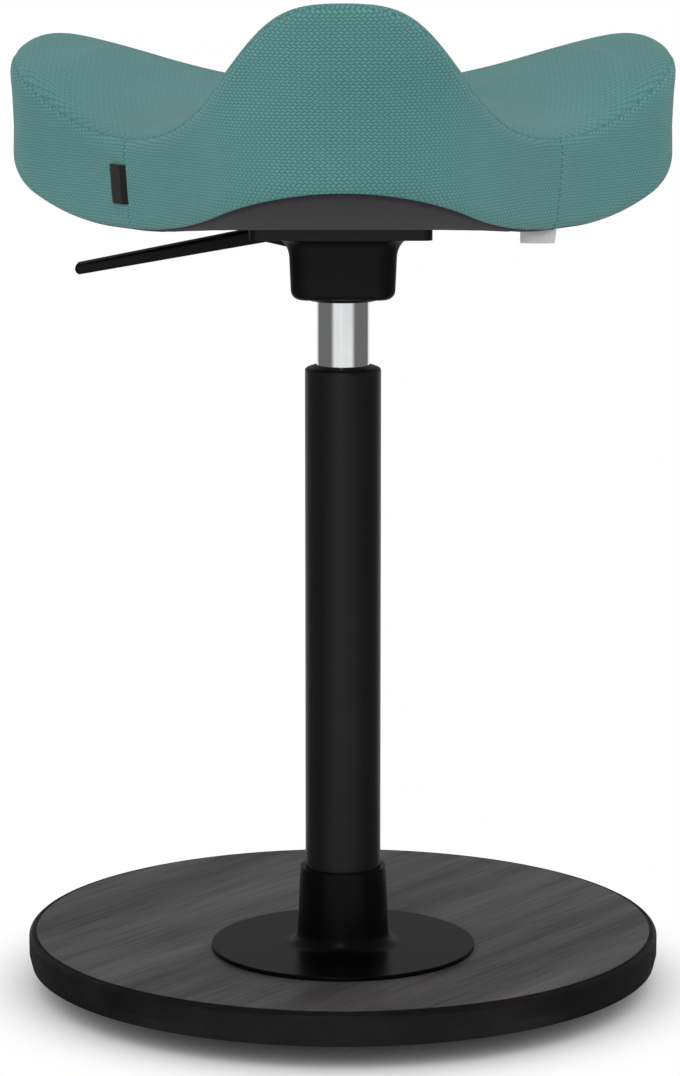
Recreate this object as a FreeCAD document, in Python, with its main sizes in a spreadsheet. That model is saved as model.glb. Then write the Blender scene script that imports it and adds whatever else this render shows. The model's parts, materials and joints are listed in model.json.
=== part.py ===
"""Saddle stool with a tilting round foot, a gas lift and a three-lobed upholstered seat.

Millimetres, +Z up. The origin is on the floor at the middle of the round foot, the sitter faces -Y,
and the column stands ahead of the middle, towards the pommel.
"""
import math
import os
import re

import FreeCAD
import Part
import Sketcher

from FreeCAD import Vector

doc = FreeCAD.newDocument("SaddleStool")

# Driving sizes, each one the size of a real thing that can be chosen by itself.
SIZES = {
    # round wooden foot
    "FootRadius": 214.5, "FootHeight": 38, "FootRimBase": 23, "FootRimSlope": 2, "FootEdge": 2.4,
    "FootGrooveInset": 4.6, "FootGrooveWidth": 1.2, "FootGrooveDepth": 0.8,
    "FootUnderRadius": 190, "FootUnderRise": 14, "FootUnderBulge": 330,
    "PadRadius": 110, "PadThickness": 3, "PadProud": 1,
    "ColumnOffset": 56,
    # flange and socket of the column
    "FlangeRadius": 88, "FlangeThickness": 3, "SocketRimRadius": 27, "SocketHeight": 53,
    "SocketWaistRadius": 31, "SocketWaistHeight": 12, "SocketFlare": 9,
    "FootBoltCircle": 45, "FootBoltRadius": 4, "FootBoltLength": 22, "FootBoltHeadRadius": 7,
    "FootBoltHeadHeight": 4.4, "FootBushRadius": 7.5, "FootBushLength": 16, "WasherRadius": 9,
    "WasherThickness": 1.6,
    # outer tube of the column
    "TubeRadius": 25, "TubeWall": 2, "TubeLength": 385, "TubeShoulder": 4.4, "TubeEndThickness": 4,
    "TubeEndInset": 3, "BushLength": 82, "ShoulderWall": 2,
    # thrust bearing under the rod
    "RaceRadius": 12, "RaceThickness": 2, "RollerRadius": 2, "RollerLength": 4.6, "CageThickness": 1.6,
    "BumpStopRadius": 12, "BumpStopHeight": 10, "ClipRadius": 9, "ClipThickness": 1.4,
    # gas spring
    "RodRadius": 5, "RodHeadroom": 50, "PistonHeight": 16, "PistonBelowTop": 4, "RingWidth": 4,
    "RingDepth": 2.5, "SpringRadius": 17.5, "SpringWall": 1.5, "SpringTuck": 2.6,
    "SpringRest": 17.7, "SpringLip": 1.5, "RodGuideHeight": 26, "RodSealHeight": 6,
    "NeckRadius": 14.3, "NeckTopRadius": 13.4, "NeckLength": 28, "NeckStep": 4, "NeckBore": 10.5,
    "ValveHeadHeight": 22, "ValvePinRadius": 3, "ValvePinLength": 22, "ValvePinProud": 5,
    # seat carrier and its cover
    "RodShown": 43, "CoverRingRadius": 22.2, "CoverRingHeight": 4.6, "CoverHalfWidth": 33,
    "CoverHalfDepth": 34, "CoverCorner": 12, "CoverFlare": 9.5, "CoverFlareHeight": 12,
    "CoverHeight": 38.6, "CoverWall": 2.5, "CoverSlotHalf": 20.6, "CoverSlotDrop": 15,
    "CarrierSlotHalf": 14, "CarrierLeft": 60, "CarrierRight": 57, "CarrierHalfDepth": 60, "CarrierHeight": 8,
    "CarrierWall": 2.5, "CarrierCorner": 6, "SocketRadius": 21, "CheekGap": 15, "CheekWall": 3.5,
    "CheekLeft": 40, "CheekInside": 27, "CheekRight": 20, "CheekDrop": 36, "CheekArmDrop": 20,
    "SeatScrewSide": 44, "SeatScrewFront": 46, "SeatScrewRadius": 3, "SeatScrewHeadRadius": 5.5,
    "SeatScrewHeadHeight": 3.2, "NutBarrelRadius": 4.5, "NutFlangeRadius": 9, "NutFlange": 1.2,
    # lever
    "PivotReach": 30, "PivotDrop": 11, "PivotRadius": 3, "HubRadius": 5.8, "LeverHalfWidth": 11,
    "LeverReach": 174.7, "LeverTipDrop": 31, "LeverTip": 6.6, "LeverRoot": 7.6, "LeverNose": 6,
    "LeverNoseHeight": 5, "LeverRound": 2.4, "LeverRootReach": 62, "LeverRootDrop": 5.6,
    # seat outline seen from above
    "NoseReach": 215, "NoseRadius": 92, "WingSide": 143.5, "WingBack": 76, "WingRadius": 77,
    "FlankRadius": 3500, "RearRadius": 900, "WallFoot": 30, "WallFootInset": 9.5, "WallWaist": 95,
    "WallTop": 170, "WallTopInset": 5,
    # seat heights and thicknesses
    "DishHeight": 53.4, "PommelRise": 99.8, "PommelWidth": 80.5, "PommelStart": 60,
    "WingRise": 49.5, "WingReach": 215, "WingWidth": 83.7, "WingAngle": 23.5, "RearRise": 26.6,
    "RearReach": 140,
    "FrontFold": 60.9, "FrontBend": 358.5, "WingFold": 79.6, "WingBend": 278.5, "WingBendAngle": 44.7,
    "UnderCloth": 1.6, "ShellThickness": 9, "ShellInset": 9, "ClothThickness": 2.4,
    "BandSeam": 138, "SeamAhead": 86,
    # labels
    "TagWidth": 16, "TagHeight": 25, "TagThickness": 0.8, "TagRise": 16, "FlankAcross": 57, "FlankBack": 82,
    "CareWidth": 23, "CareHang": 9, "CareThickness": 0.6, "CareSide": 124, "CareFront": 60,
    # clearances
    "RunningGap": 0.05, "SeatedGap": 0.05, "LooseGap": 0.3,
}

sheet = doc.addObject("Spreadsheet::Sheet", "Sizes")
for row, (alias, value) in enumerate(SIZES.items(), start=1):
    sheet.set(f"A{row}", alias)
    sheet.set(f"B{row}", str(value))
    sheet.setAlias(f"B{row}", alias)
doc.recompute()


def size(text):
    """The value of an expression over the sheet's aliases, in millimetres."""
    found = sheet.evalExpression(bound(text))
    return float(getattr(found, "Value", found))


def bound(text):
    """The same expression with every alias written as a cell of the sheet."""
    return re.sub(r"[A-Z]\w*", r"Sizes.\g<0>", text)


# Levels up the stool, each from the sizes below it.
flange_top = "(FootHeight + FlangeThickness)"
socket_top = f"({flange_top} + SocketHeight)"
tube_top = f"({flange_top} + TubeLength)"
lip_top = f"({tube_top} + TubeShoulder)"
end_low = f"({flange_top} + TubeEndInset)"
end_top = f"({end_low} + TubeEndThickness)"
roller_level = f"({end_top} + RaceThickness + RollerRadius)"
upper_race_low = f"({roller_level} + RollerRadius)"
bump_low = f"({upper_race_low} + RaceThickness + LooseGap)"
spring_floor = f"({bump_low} + BumpStopHeight + SpringRest)"
ring_low = f"({lip_top} + RodShown)"
spring_top = f"({ring_low} + SpringTuck)"
neck_low = f"({spring_top} + NeckStep)"
neck_top = f"({neck_low} + NeckLength)"
cover_low = f"({ring_low} + CoverRingHeight)"
carrier_low = f"({cover_low} + CoverHeight)"
seat_base = f"({carrier_low} + CarrierHeight)"
sheet_low = f"({seat_base} - CarrierWall)"
pivot_level = f"({seat_base} - PivotDrop)"
valve_low = f"({spring_top} - NeckStep - ValveHeadHeight)"
rod_top = f"({valve_low} - RodHeadroom)"
pin_top = f"({neck_top} + ValvePinProud)"
shell_low = f"({seat_base} + UnderCloth)"
shell_top = f"({shell_low} + ShellThickness)"

parts = []


def finish(thing, label, on_column=True):
    """Name the piece and stand it on the column's axis or on the middle of the foot."""
    thing.Label = label
    if on_column:
        thing.setExpression("Placement.Base.y", bound("-ColumnOffset"))
    parts.append(thing)
    return thing


def new_body(label, on_column=True):
    return finish(doc.addObject("PartDesign::Body", label), label, on_column)


def plane_sketch(body, role, name):
    """A sketch on one of the body's own origin planes."""
    plane = [item for item in body.Origin.OriginFeatures if item.Role == role][0]
    sketch = body.newObject("Sketcher::SketchObject", name)
    sketch.AttachmentSupport = (plane, "")
    sketch.MapMode = "FlatFace"
    return sketch


def pin_point(sketch, line, end, across, up):
    """Hold one end of a line at the place that two expressions give."""
    for kind, text in (("DistanceX", across), ("DistanceY", up)):
        index = sketch.addConstraint(Sketcher.Constraint(kind, line, end, size(text)))
        if text != "0":
            sketch.setExpression(f"Constraints[{index}]", bound(text))


def draw_outline(sketch, corners):
    """A closed outline through corners (across, up), or (across, up, radius) where an arc leaves.

    A positive radius bulges to the right of the way round, a negative one to the left.
    """
    places = [Vector(size(corner[0]), size(corner[1]), 0) for corner in corners]
    for number, corner in enumerate(corners):
        start = places[number]
        end = places[(number + 1) % len(corners)]
        if len(corner) == 2:
            sketch.addGeometry(Part.LineSegment(start, end), False)
            continue
        radius = size(corner[2])
        chord = end.sub(start)
        right = Vector(chord.y, -chord.x, 0).normalize()
        sag = abs(radius) - math.sqrt(radius * radius - chord.Length ** 2 / 4)
        middle = start.add(end).multiply(0.5).add(right.multiply(math.copysign(sag, radius)))
        sketch.addGeometry(arc_piece(start, middle, end), False)
    ends = []
    for number, corner in enumerate(corners):
        ends.append(line_ends(sketch, number, places[number]))
    for number in range(len(corners)):
        following = (number + 1) % len(corners)
        sketch.addConstraint(Sketcher.Constraint("Coincident", number, ends[number][1],
                                                 following, ends[following][0]))
    for number, corner in enumerate(corners):
        pin_point(sketch, number, ends[number][0], corner[0], corner[1])
        if len(corner) == 3:
            index = sketch.addConstraint(
                Sketcher.Constraint("Radius", number, abs(size(corner[2]))))
            sketch.setExpression(f"Constraints[{index}]", bound(f"abs({corner[2]})"))


def arc_piece(start, middle, end):
    """A sketch arc through three points."""
    circle = Part.Circle(start, middle, end)
    centre = circle.Center
    first = math.atan2(start.y - centre.y, start.x - centre.x)
    last = math.atan2(end.y - centre.y, end.x - centre.x)
    halfway = math.atan2(middle.y - centre.y, middle.x - centre.x)
    turn = 2 * math.pi
    if (halfway - first) % turn > (last - first) % turn:
        first, last = last, first
    return Part.ArcOfCircle(Part.Circle(centre, Vector(0, 0, 1), circle.Radius), first, last)


def line_ends(sketch, number, start):
    """Which end of a piece of the outline is its start: an arc may be stored backwards."""
    if sketch.getPoint(number, 1).distanceToPoint(start) < 1e-4:
        return 1, 2
    return 2, 1


def turned(label, corners, on_column=True):
    """A piece turned about its own upright axis from an outline of (radius, height) corners."""
    body = new_body(label, on_column)
    sketch = plane_sketch(body, "XZ_Plane", label + "_profile")
    draw_outline(sketch, corners)
    turning = body.newObject("PartDesign::Revolution", label + "_turning")
    turning.Profile = sketch
    turning.ReferenceAxis = (sketch, ["V_Axis"])
    turning.Angle = 360
    sketch.Visibility = False
    doc.recompute()
    return body


def ring(label, inner, outer, low, high, on_column=True):
    """A plain turned ring or, with no bore, a disc."""
    return turned(label, [(inner, low), (outer, low), (outer, high), (inner, high)], on_column)


def bored(body, name, holes, radius, low, high):
    """Straight upright holes at (across, along) places through a body, cut from low to high."""
    sketch = plane_sketch(body, "XY_Plane", name)
    sketch.setExpression("AttachmentOffset.Base.z", bound(low))
    for number, (across, along) in enumerate(holes):
        centre = Vector(size(across), size(along), 0)
        sketch.addGeometry(Part.Circle(centre, Vector(0, 0, 1), size(radius)), False)
        for kind, text in (("DistanceX", across), ("DistanceY", along)):
            index = sketch.addConstraint(Sketcher.Constraint(kind, number, 3, size(text)))
            sketch.setExpression(f"Constraints[{index}]", bound(text))
        index = sketch.addConstraint(Sketcher.Constraint("Radius", number, size(radius)))
        sketch.setExpression(f"Constraints[{index}]", bound(radius))
    doc.recompute()
    before = body.Shape.Volume
    pocket = body.newObject("PartDesign::Pocket", name + "_cut")
    pocket.Profile = sketch
    pocket.Reversed = True
    pocket.setExpression("Length", bound(f"({high}) - ({low})"))
    body.Tip = pocket
    doc.recompute()
    if body.Shape.Volume >= before:
        raise ValueError(f"{name} cuts nothing")
    return pocket


def made(label, shape, on_column=True):
    """A piece whose shape is worked out here and not by features of its own."""
    thing = doc.addObject("Part::Feature", label)
    thing.Shape = shape
    return finish(thing, label, on_column)


def four_corners(side, front):
    """The four places (+-side, +-front), as expressions."""
    return [(f"{a}{side}", f"{b}{front}") for a in ("-", "") for b in ("-", "")]


def bolt_places():
    """Four bolts on a circle round the column, on its diagonals."""
    leg = "(FootBoltCircle * cos(45))"
    return four_corners(leg, leg)


def post(radius, low, high, across=0.0, along=0.0):
    """An upright cylinder between two levels."""
    return Part.makeCylinder(radius, high - low, Vector(across, along, low))


def round_edges(body, name, radius, chosen):
    """Round the edges of the body's last feature for which chosen(edge) holds."""
    carrier = body.Tip
    names = [f"Edge{number}" for number, edge in enumerate(carrier.Shape.Edges, 1) if chosen(edge)]
    fillet = body.newObject("PartDesign::Fillet", name)
    fillet.Base = (carrier, names)
    fillet.setExpression("Radius", bound(radius))
    body.Tip = fillet
    doc.recompute()
    return fillet


# The round foot: a thick disc with a groove inside its top edge and a bulging underside to tilt on.

def make_foot():
    rim_low = "(PadProud + FootUnderRise)"
    groove = "(FootRadius - FootGrooveInset)"
    corners = [
        ("0", "PadThickness"),
        ("PadRadius + SeatedGap", "PadThickness"),
        ("PadRadius + SeatedGap", "PadProud", "FootUnderBulge"),
        ("FootUnderRadius", rim_low),
        ("FootRadius - FootRimSlope", rim_low),
        ("FootRadius", "FootRimBase"),
        ("FootRadius", "FootHeight - FootEdge"),
        (f"{groove} + FootGrooveWidth", "FootHeight"),
        (groove, "FootHeight - FootGrooveDepth"),
        (f"{groove} - FootGrooveWidth", "FootHeight"),
        ("0", "FootHeight"),
    ]
    body = turned("foot_disc", corners, on_column=False)
    shifted = [(across, f"{along} - ColumnOffset") for across, along in bolt_places()]
    bored(body, "bush_holes", shifted, "FootBushRadius + LooseGap",
          "FootHeight - FootBushLength - LooseGap", "FootHeight + 1")
    bored(body, "bolt_holes", shifted, "FootBoltRadius + LooseGap", "PadThickness - 1",
          "FootHeight + 1")
    bored(body, "washer_holes", shifted, "WasherRadius + LooseGap", "PadThickness - 1",
          "FootHeight - FootBoltLength + WasherThickness")


def make_pad():
    ring("floor_pad", "0", "PadRadius", "0", "PadThickness", on_column=False)


def make_column_foot():
    """Flange with a trumpet-shaped socket, and four threaded bushes that drop into the wood."""
    bore = "(TubeRadius + SeatedGap)"
    body = turned("column_foot", [
        ("ClipRadius + LooseGap * 2", "FootHeight"),
        ("FlangeRadius - FlangeThickness / 3", "FootHeight"),
        ("FlangeRadius", "FootHeight + FlangeThickness / 2"),
        ("FlangeRadius - FlangeThickness / 3", flange_top),
        ("SocketWaistRadius + SocketFlare", flange_top, "-SocketFlare * 1.25"),
        ("SocketWaistRadius", f"{flange_top} + SocketWaistHeight"),
        ("SocketRimRadius", socket_top),
        (bore, socket_top),
        (bore, flange_top),
        ("ClipRadius + LooseGap * 2", flange_top),
    ])
    bushes = [post(size("FootBushRadius"), size("FootHeight - FootBushLength"), size("FootHeight"),
                   size(across), size(along)) for across, along in bolt_places()]
    threads = [post(size("FootBoltRadius + SeatedGap"), size("FootHeight - FootBushLength"),
                    size("FootHeight"), size(across), size(along))
               for across, along in bolt_places()]
    parts.remove(body)
    body.Label = "flange_turning"
    whole = body.Shape.copy()
    whole.Placement = FreeCAD.Placement()
    made("column_foot", whole.fuse(bushes).cut(threads).removeSplitter())


def make_foot_fasteners():
    head_top = size("FootHeight - FootBoltLength")
    bolts = []
    washers = []
    for across, along in bolt_places():
        x, y = size(across), size(along)
        head_low = head_top - size("FootBoltHeadHeight")
        shank = post(size("FootBoltRadius"), head_top, size("FootHeight - LooseGap"), x, y)
        head = post(size("FootBoltHeadRadius"), head_low, head_top, x, y)
        recess = post(size("FootBoltHeadRadius * 0.45"), head_low,
                      head_low + size("FootBoltHeadHeight * 0.6"), x, y)
        bolts.append(shank.fuse(head).cut(recess).removeSplitter())
        disc = post(size("WasherRadius"), head_top, head_top + size("WasherThickness"), x, y)
        washers.append(disc.cut(post(size("FootBoltRadius + LooseGap"), head_top - 1,
                                     head_top + size("WasherThickness + 1"), x, y)))
    made("foot_bolts", Part.makeCompound(bolts))
    made("foot_washers", Part.makeCompound(washers))


# The column: an outer tube with a bush at its mouth, and a roller bearing at its foot.

roller_count = 6


def make_column():
    inner = "(TubeRadius - TubeWall)"
    mouth = "(SpringRadius + LooseGap)"
    turned("column_tube", [
        (inner, flange_top),
        ("TubeRadius", flange_top),
        ("TubeRadius", tube_top),
        (f"{mouth} + 1", lip_top),
        (mouth, lip_top),
        (mouth, f"{lip_top} - ShoulderWall"),
        (inner, f"{tube_top} - ShoulderWall"),
    ])
    bush_top = f"({tube_top} - ShoulderWall - LooseGap)"
    ring("guide_bush", "SpringRadius + RunningGap", f"{inner} - SeatedGap",
         f"{bush_top} - BushLength", bush_top)
    ring("tube_end", "RodRadius + RunningGap * 2", f"{inner} - SeatedGap", end_low, end_top)
    ring("lower_race", "RodRadius + RunningGap * 2", "RaceRadius", end_top,
         f"{end_top} + RaceThickness - RunningGap")
    cage_low = size(f"{roller_level} - CageThickness / 2")
    cage_top = size(f"{roller_level} + CageThickness / 2")
    cage = post(size("RaceRadius"), cage_low, cage_top).cut(
        post(size("RodRadius + LooseGap"), cage_low - 1, cage_top + 1))
    radius, length, slack = size("RollerRadius - RunningGap"), size("RollerLength"), size("RunningGap")
    inside = size("RaceRadius - RollerLength") - slack * 10
    rollers = []
    for number in range(roller_count):
        angle = 2 * math.pi * number / roller_count
        outward = Vector(math.cos(angle), math.sin(angle), 0)
        level = Vector(0, 0, size(roller_level))
        rollers.append(Part.makeCylinder(radius, length, outward * inside + level, outward))
        pocket = Part.makeCylinder(radius + 2 * slack, length + 2 * slack,
                                   outward * (inside - slack) + level, outward)
        cage = cage.cut(pocket)
    made("bearing_rollers", Part.makeCompound(rollers))
    made("roller_cage", cage)
    ring("upper_race", "RodRadius + SeatedGap", "RaceRadius", upper_race_low,
         f"{upper_race_low} + RaceThickness")
    ring("bump_stop", "RodRadius + SeatedGap", "BumpStopRadius", bump_low,
         f"{bump_low} + BumpStopHeight")
    clip_top = f"({end_low} - LooseGap)"
    ring("rod_clip", "RodRadius - 1 + SeatedGap", "ClipRadius", f"{clip_top} - ClipThickness",
         clip_top)


# The gas spring: a rod that stays down in the column, and a pressure tube that rises on it.

def make_spring():
    clip_top = f"({end_low} - LooseGap)"
    clip_low = f"({clip_top} - ClipThickness)"
    turned("piston_rod", [
        ("0", f"{clip_low} - 1.5"),
        ("RodRadius - 0.5", f"{clip_low} - 1.5"),
        ("RodRadius", f"{clip_low} - 1"),
        ("RodRadius", clip_low),
        ("RodRadius - 1", clip_low),
        ("RodRadius - 1", clip_top),
        ("RodRadius", clip_top),
        ("RodRadius", f"{rod_top} - 1"),
        ("RodRadius - 1", rod_top),
        ("0", rod_top),
    ])
    bore = "(SpringRadius - SpringWall)"
    piston_top = f"({rod_top} - PistonBelowTop)"
    piston_low = f"({piston_top} - PistonHeight)"
    groove_low = f"({piston_low} + (PistonHeight - RingWidth) / 2)"
    slide = f"({bore} - RunningGap)"
    turned("piston", [
        ("RodRadius + SeatedGap", piston_low),
        (slide, piston_low),
        (slide, groove_low),
        (f"{slide} - RingDepth", groove_low),
        (f"{slide} - RingDepth", f"{groove_low} + RingWidth"),
        (slide, f"{groove_low} + RingWidth"),
        (slide, piston_top),
        ("RodRadius + SeatedGap", piston_top),
    ])
    ring("piston_ring", f"{slide} - RingDepth + SeatedGap", slide,
         f"{groove_low} + SeatedGap", f"{groove_low} + RingWidth - SeatedGap")
    turned("pressure_tube", [
        ("RodRadius * 2", spring_floor),
        ("SpringRadius", spring_floor),
        ("SpringRadius", spring_top),
        ("NeckRadius", neck_low),
        ("NeckTopRadius", neck_top),
        ("NeckBore", neck_top),
        ("NeckBore", f"{spring_top} - NeckStep"),
        (bore, f"{spring_top} - NeckStep"),
        (bore, f"{spring_floor} + SpringLip"),
        ("RodRadius * 2", f"{spring_floor} + SpringLip"),
    ])
    guide_top = f"({spring_floor} + SpringLip + RodGuideHeight)"
    ring("rod_guide", "RodRadius + RunningGap", f"{bore} - SeatedGap",
         f"{spring_floor} + SpringLip", guide_top)
    ring("rod_seal", "RodRadius + RunningGap", f"{bore} - SeatedGap", guide_top,
         f"{guide_top} + RodSealHeight")
    head = f"({bore} - SeatedGap)"
    stem = "(NeckBore - SeatedGap)"
    pin_hole = "(ValvePinRadius + RunningGap)"
    turned("valve_body", [
        ("0", valve_low),
        (head, valve_low),
        (head, f"{spring_top} - NeckStep"),
        (stem, f"{spring_top} - NeckStep"),
        (stem, neck_top),
        (pin_hole, neck_top),
        (pin_hole, f"{pin_top} - ValvePinLength - 4"),
        ("0", f"{pin_top} - ValvePinLength - 4"),
    ])
    ring("valve_pin", "0", "ValvePinRadius", f"{pin_top} - ValvePinLength", pin_top)


# The seat carrier: a pressed tray under the seat, a tapered socket with two cheeks, and its cover.

def rounded_plate(left, right, half_depth, corner, low, high):
    """An upright block with rounded corners, from -left to right and half_depth either way."""
    block = Part.makeBox(left + right, 2 * half_depth, high - low, Vector(-left, -half_depth, low))
    upright = [edge for edge in block.Edges
               if abs(edge.Vertexes[0].X - edge.Vertexes[1].X) < 1e-6
               and abs(edge.Vertexes[0].Y - edge.Vertexes[1].Y) < 1e-6]
    return block.makeFillet(corner, upright)


def screw_places():
    return four_corners("SeatScrewSide", "SeatScrewFront")


def make_carrier():
    left, right = size("CarrierLeft"), size("CarrierRight")
    depth, wall, corner = size("CarrierHalfDepth"), size("CarrierWall"), size("CarrierCorner")
    low, high = size(carrier_low), size(seat_base)
    tray = rounded_plate(left, right, depth, corner, low, high)
    hollow = rounded_plate(left - wall, right - wall, depth - wall, corner - wall, low - 1,
                           high - wall)
    slot = size("CarrierSlotHalf")
    gap = Part.makeBox(wall * 3, 2 * slot, high - wall - low + 1, Vector(-left - wall, -slot, low - 1))
    tray = tray.cut(hollow).cut(gap)
    for across, along in screw_places():
        tray = tray.cut(post(size("SeatScrewRadius + LooseGap"), low, high + 1, size(across),
                             size(along)))
    made("seat_carrier", tray)


def make_socket():
    """A bored block on two cheeks that are welded up under the tray."""
    low, top = size(f"{cover_low} + CoverWall + LooseGap"), size(neck_top)
    gap, wall = size("CheekGap"), size("CheekWall")
    left, right = size("CheekLeft"), size("CheekRight")
    high, cheek_low = size(sheet_low), size(f"{seat_base} - CheekDrop")
    block = post(size("SocketRadius"), low, top)
    inside, arm_low = size("CheekInside"), size(f"{seat_base} - CheekArmDrop")
    for y in (-gap - wall, gap):
        block = block.fuse(Part.makeBox(inside + right, wall, high - cheek_low,
                                        Vector(-inside, y, cheek_low)))
        block = block.fuse(Part.makeBox(left - inside, wall, high - arm_low,
                                        Vector(-left, y, arm_low)))
    slack = size("SeatedGap")
    taper = Part.makeCone(size("NeckRadius") + slack, size("NeckTopRadius") + slack,
                          size("NeckLength"), Vector(0, 0, size(neck_low)))
    x, z = -size("PivotReach"), size(pivot_level)
    eye = Part.makeCylinder(size("PivotRadius + SeatedGap"), 4 * gap, Vector(x, -2 * gap, z),
                            Vector(0, 1, 0))
    made("taper_socket", block.cut(taper).cut(eye).removeSplitter())
    pin = Part.makeCylinder(size("PivotRadius"), 2 * (gap + wall), Vector(x, -gap - wall, z),
                            Vector(0, 1, 0))
    washers = []
    for side in (-1, 1):
        start = side * (gap + wall + size("RunningGap"))
        clip = Part.makeCylinder(size("PivotRadius + 2"), 1.2, Vector(x, start, z),
                                 Vector(0, side, 0))
        groove = Part.makeCylinder(size("PivotRadius - 0.5"), 2.4, Vector(x, start, z),
                                   Vector(0, side, 0))
        washers.append(clip.fuse(groove))
    made("lever_pivot", pin.fuse(washers).removeSplitter())


def cover_section(inset, level, spread):
    """A closed rectangle with rounded corners at one level, spread beyond the cover's sides."""
    half_x = size("CoverHalfWidth") - inset + spread
    half_y = size("CoverHalfDepth") - inset + spread
    corner = size("CoverCorner") - inset + spread
    block = rounded_plate(half_x, half_x, half_y, corner, level, level + 1)
    return [face for face in block.Faces if abs(face.CenterOfMass.z - level) < 1e-6][0].OuterWire


def cover_body(inset, low, high):
    """The bell of the cover: straight sides that flare out under the tray."""
    flare_low = high - size("CoverFlareHeight")
    flare = size("CoverFlare")
    straight = Part.makeLoft([cover_section(inset + 1, low, 0), cover_section(inset, flare_low, 0)],
                             True, True)
    bell = Part.makeLoft([cover_section(inset, flare_low, 0),
                          cover_section(inset, flare_low + 4, flare * 0.16),
                          cover_section(inset, flare_low + 8, flare * 0.48),
                          cover_section(inset, high, flare)], True, True)
    return straight.fuse(bell)


def make_cover():
    low, high = size(cover_low), size(f"{carrier_low} - RunningGap")
    wall = size("CoverWall")
    outer = cover_body(0, low, high)
    low_edges = [edge for edge in outer.Edges if abs(edge.BoundBox.ZMax - low) < 1e-6]
    outer = outer.makeFillet(3, low_edges)
    collar = post(size("CoverRingRadius"), size(ring_low), low + 1)
    inner = cover_body(wall, low + wall, high + wall)
    hole = post(size("SpringRadius + LooseGap"), size(ring_low) - 1, low + wall + 1)
    slot = size("CoverSlotHalf")
    opening = Part.makeBox(40, 2 * slot, size("CoverSlotDrop") + 1,
                           Vector(-size("CoverHalfWidth") - 25, -slot,
                                  high - size("CoverSlotDrop")))
    cover = outer.fuse(collar).cut(inner).cut(hole).cut(opening).removeSplitter()
    made("mechanism_cover", cover)


def make_lever():
    """A flat handle on a pivot: its nose rests over the valve pin, its end hangs to the left."""
    half = "LeverHalfWidth"
    nose_low = f"({pin_top} + RunningGap)"
    body = new_body("height_lever")
    sketch = plane_sketch(body, "XZ_Plane", "lever_profile")
    draw_outline(sketch, [
        ("LeverNose", nose_low),
        ("LeverNose", f"{nose_low} + LeverNoseHeight"),
        ("-PivotReach", f"{pivot_level} + HubRadius"),
        ("-LeverRootReach", f"{seat_base} - LeverRootDrop"),
        ("-LeverReach + LeverTip / 4", f"{seat_base} - LeverTipDrop + LeverTip / 2", "LeverTip * 0.6"),
        ("-LeverReach + LeverTip / 2", f"{seat_base} - LeverTipDrop - LeverTip / 2"),
        ("-LeverRootReach + 12", f"{seat_base} - LeverRootDrop - LeverRoot"),
        ("-PivotReach - 4", f"{pivot_level} - HubRadius"),
        ("-PivotReach + 6", f"{pivot_level} - HubRadius * 0.6"),
        ("-ValvePinRadius - 2", nose_low),
    ])
    pad = body.newObject("PartDesign::Pad", "lever_blade")
    pad.Profile = sketch
    pad.SideType = "Symmetric"
    pad.setExpression("Length", bound(f"2 * {half}"))
    body.Tip = pad
    doc.recompute()
    eye = plane_sketch(body, "XZ_Plane", "lever_eye")
    eye.addGeometry(Part.Circle(Vector(-size("PivotReach"), size(pivot_level), 0), Vector(0, 0, 1),
                                size("PivotRadius + RunningGap")), False)
    for kind, text in (("DistanceX", "-PivotReach"), ("DistanceY", pivot_level)):
        index = eye.addConstraint(Sketcher.Constraint(kind, 0, 3, size(text)))
        eye.setExpression(f"Constraints[{index}]", bound(text))
    index = eye.addConstraint(Sketcher.Constraint("Radius", 0, size("PivotRadius + RunningGap")))
    eye.setExpression(f"Constraints[{index}]", bound("PivotRadius + RunningGap"))
    bore = body.newObject("PartDesign::Pocket", "lever_bore")
    bore.Profile = eye
    bore.Type = "ThroughAll"
    bore.SideType = "Symmetric"
    body.Tip = bore
    doc.recompute()
    outside = -size("CoverHalfWidth") - 12
    depth = size(half)
    round_edges(body, "lever_rounding", "LeverRound",
                lambda edge: edge.BoundBox.XMax < outside + 60 and edge.BoundBox.XMin < outside
                and abs(abs(edge.CenterOfMass.y) - depth) < 1e-3)


def make_seat_fasteners():
    screws = []
    nuts = []
    shell_height = size(shell_top)
    for across, along in screw_places():
        x, y = size(across), size(along)
        under = size(sheet_low)
        head = post(size("SeatScrewHeadRadius"), under - size("SeatScrewHeadHeight"), under, x, y)
        pan = head.makeChamfer(size("SeatScrewHeadHeight") * 0.4,
                               [edge for edge in head.Edges
                                if edge.BoundBox.ZMax < under - 1])
        recess = post(size("SeatScrewRadius * 0.7"), under - size("SeatScrewHeadHeight") - 1,
                      under - 1, x, y)
        shank = post(size("SeatScrewRadius"), under, shell_height, x, y)
        screws.append(pan.fuse(shank).cut(recess).removeSplitter())
        barrel = post(size("NutBarrelRadius"), size(shell_low) + 1, shell_height, x, y)
        plate = post(size("NutFlangeRadius"), shell_height, shell_height + size("NutFlange"), x, y)
        nuts.append(barrel.fuse(plate).cut(post(size("SeatScrewRadius + SeatedGap"),
                                                size(shell_low), shell_height + 9, x, y)))
    made("seat_screws", Part.makeCompound(screws))
    made("tee_nuts", Part.makeCompound([nut.removeSplitter() for nut in nuts]))


# The seat: an outline of six arcs, a crown that rises in three lobes and a shell bent up under them.

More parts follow.
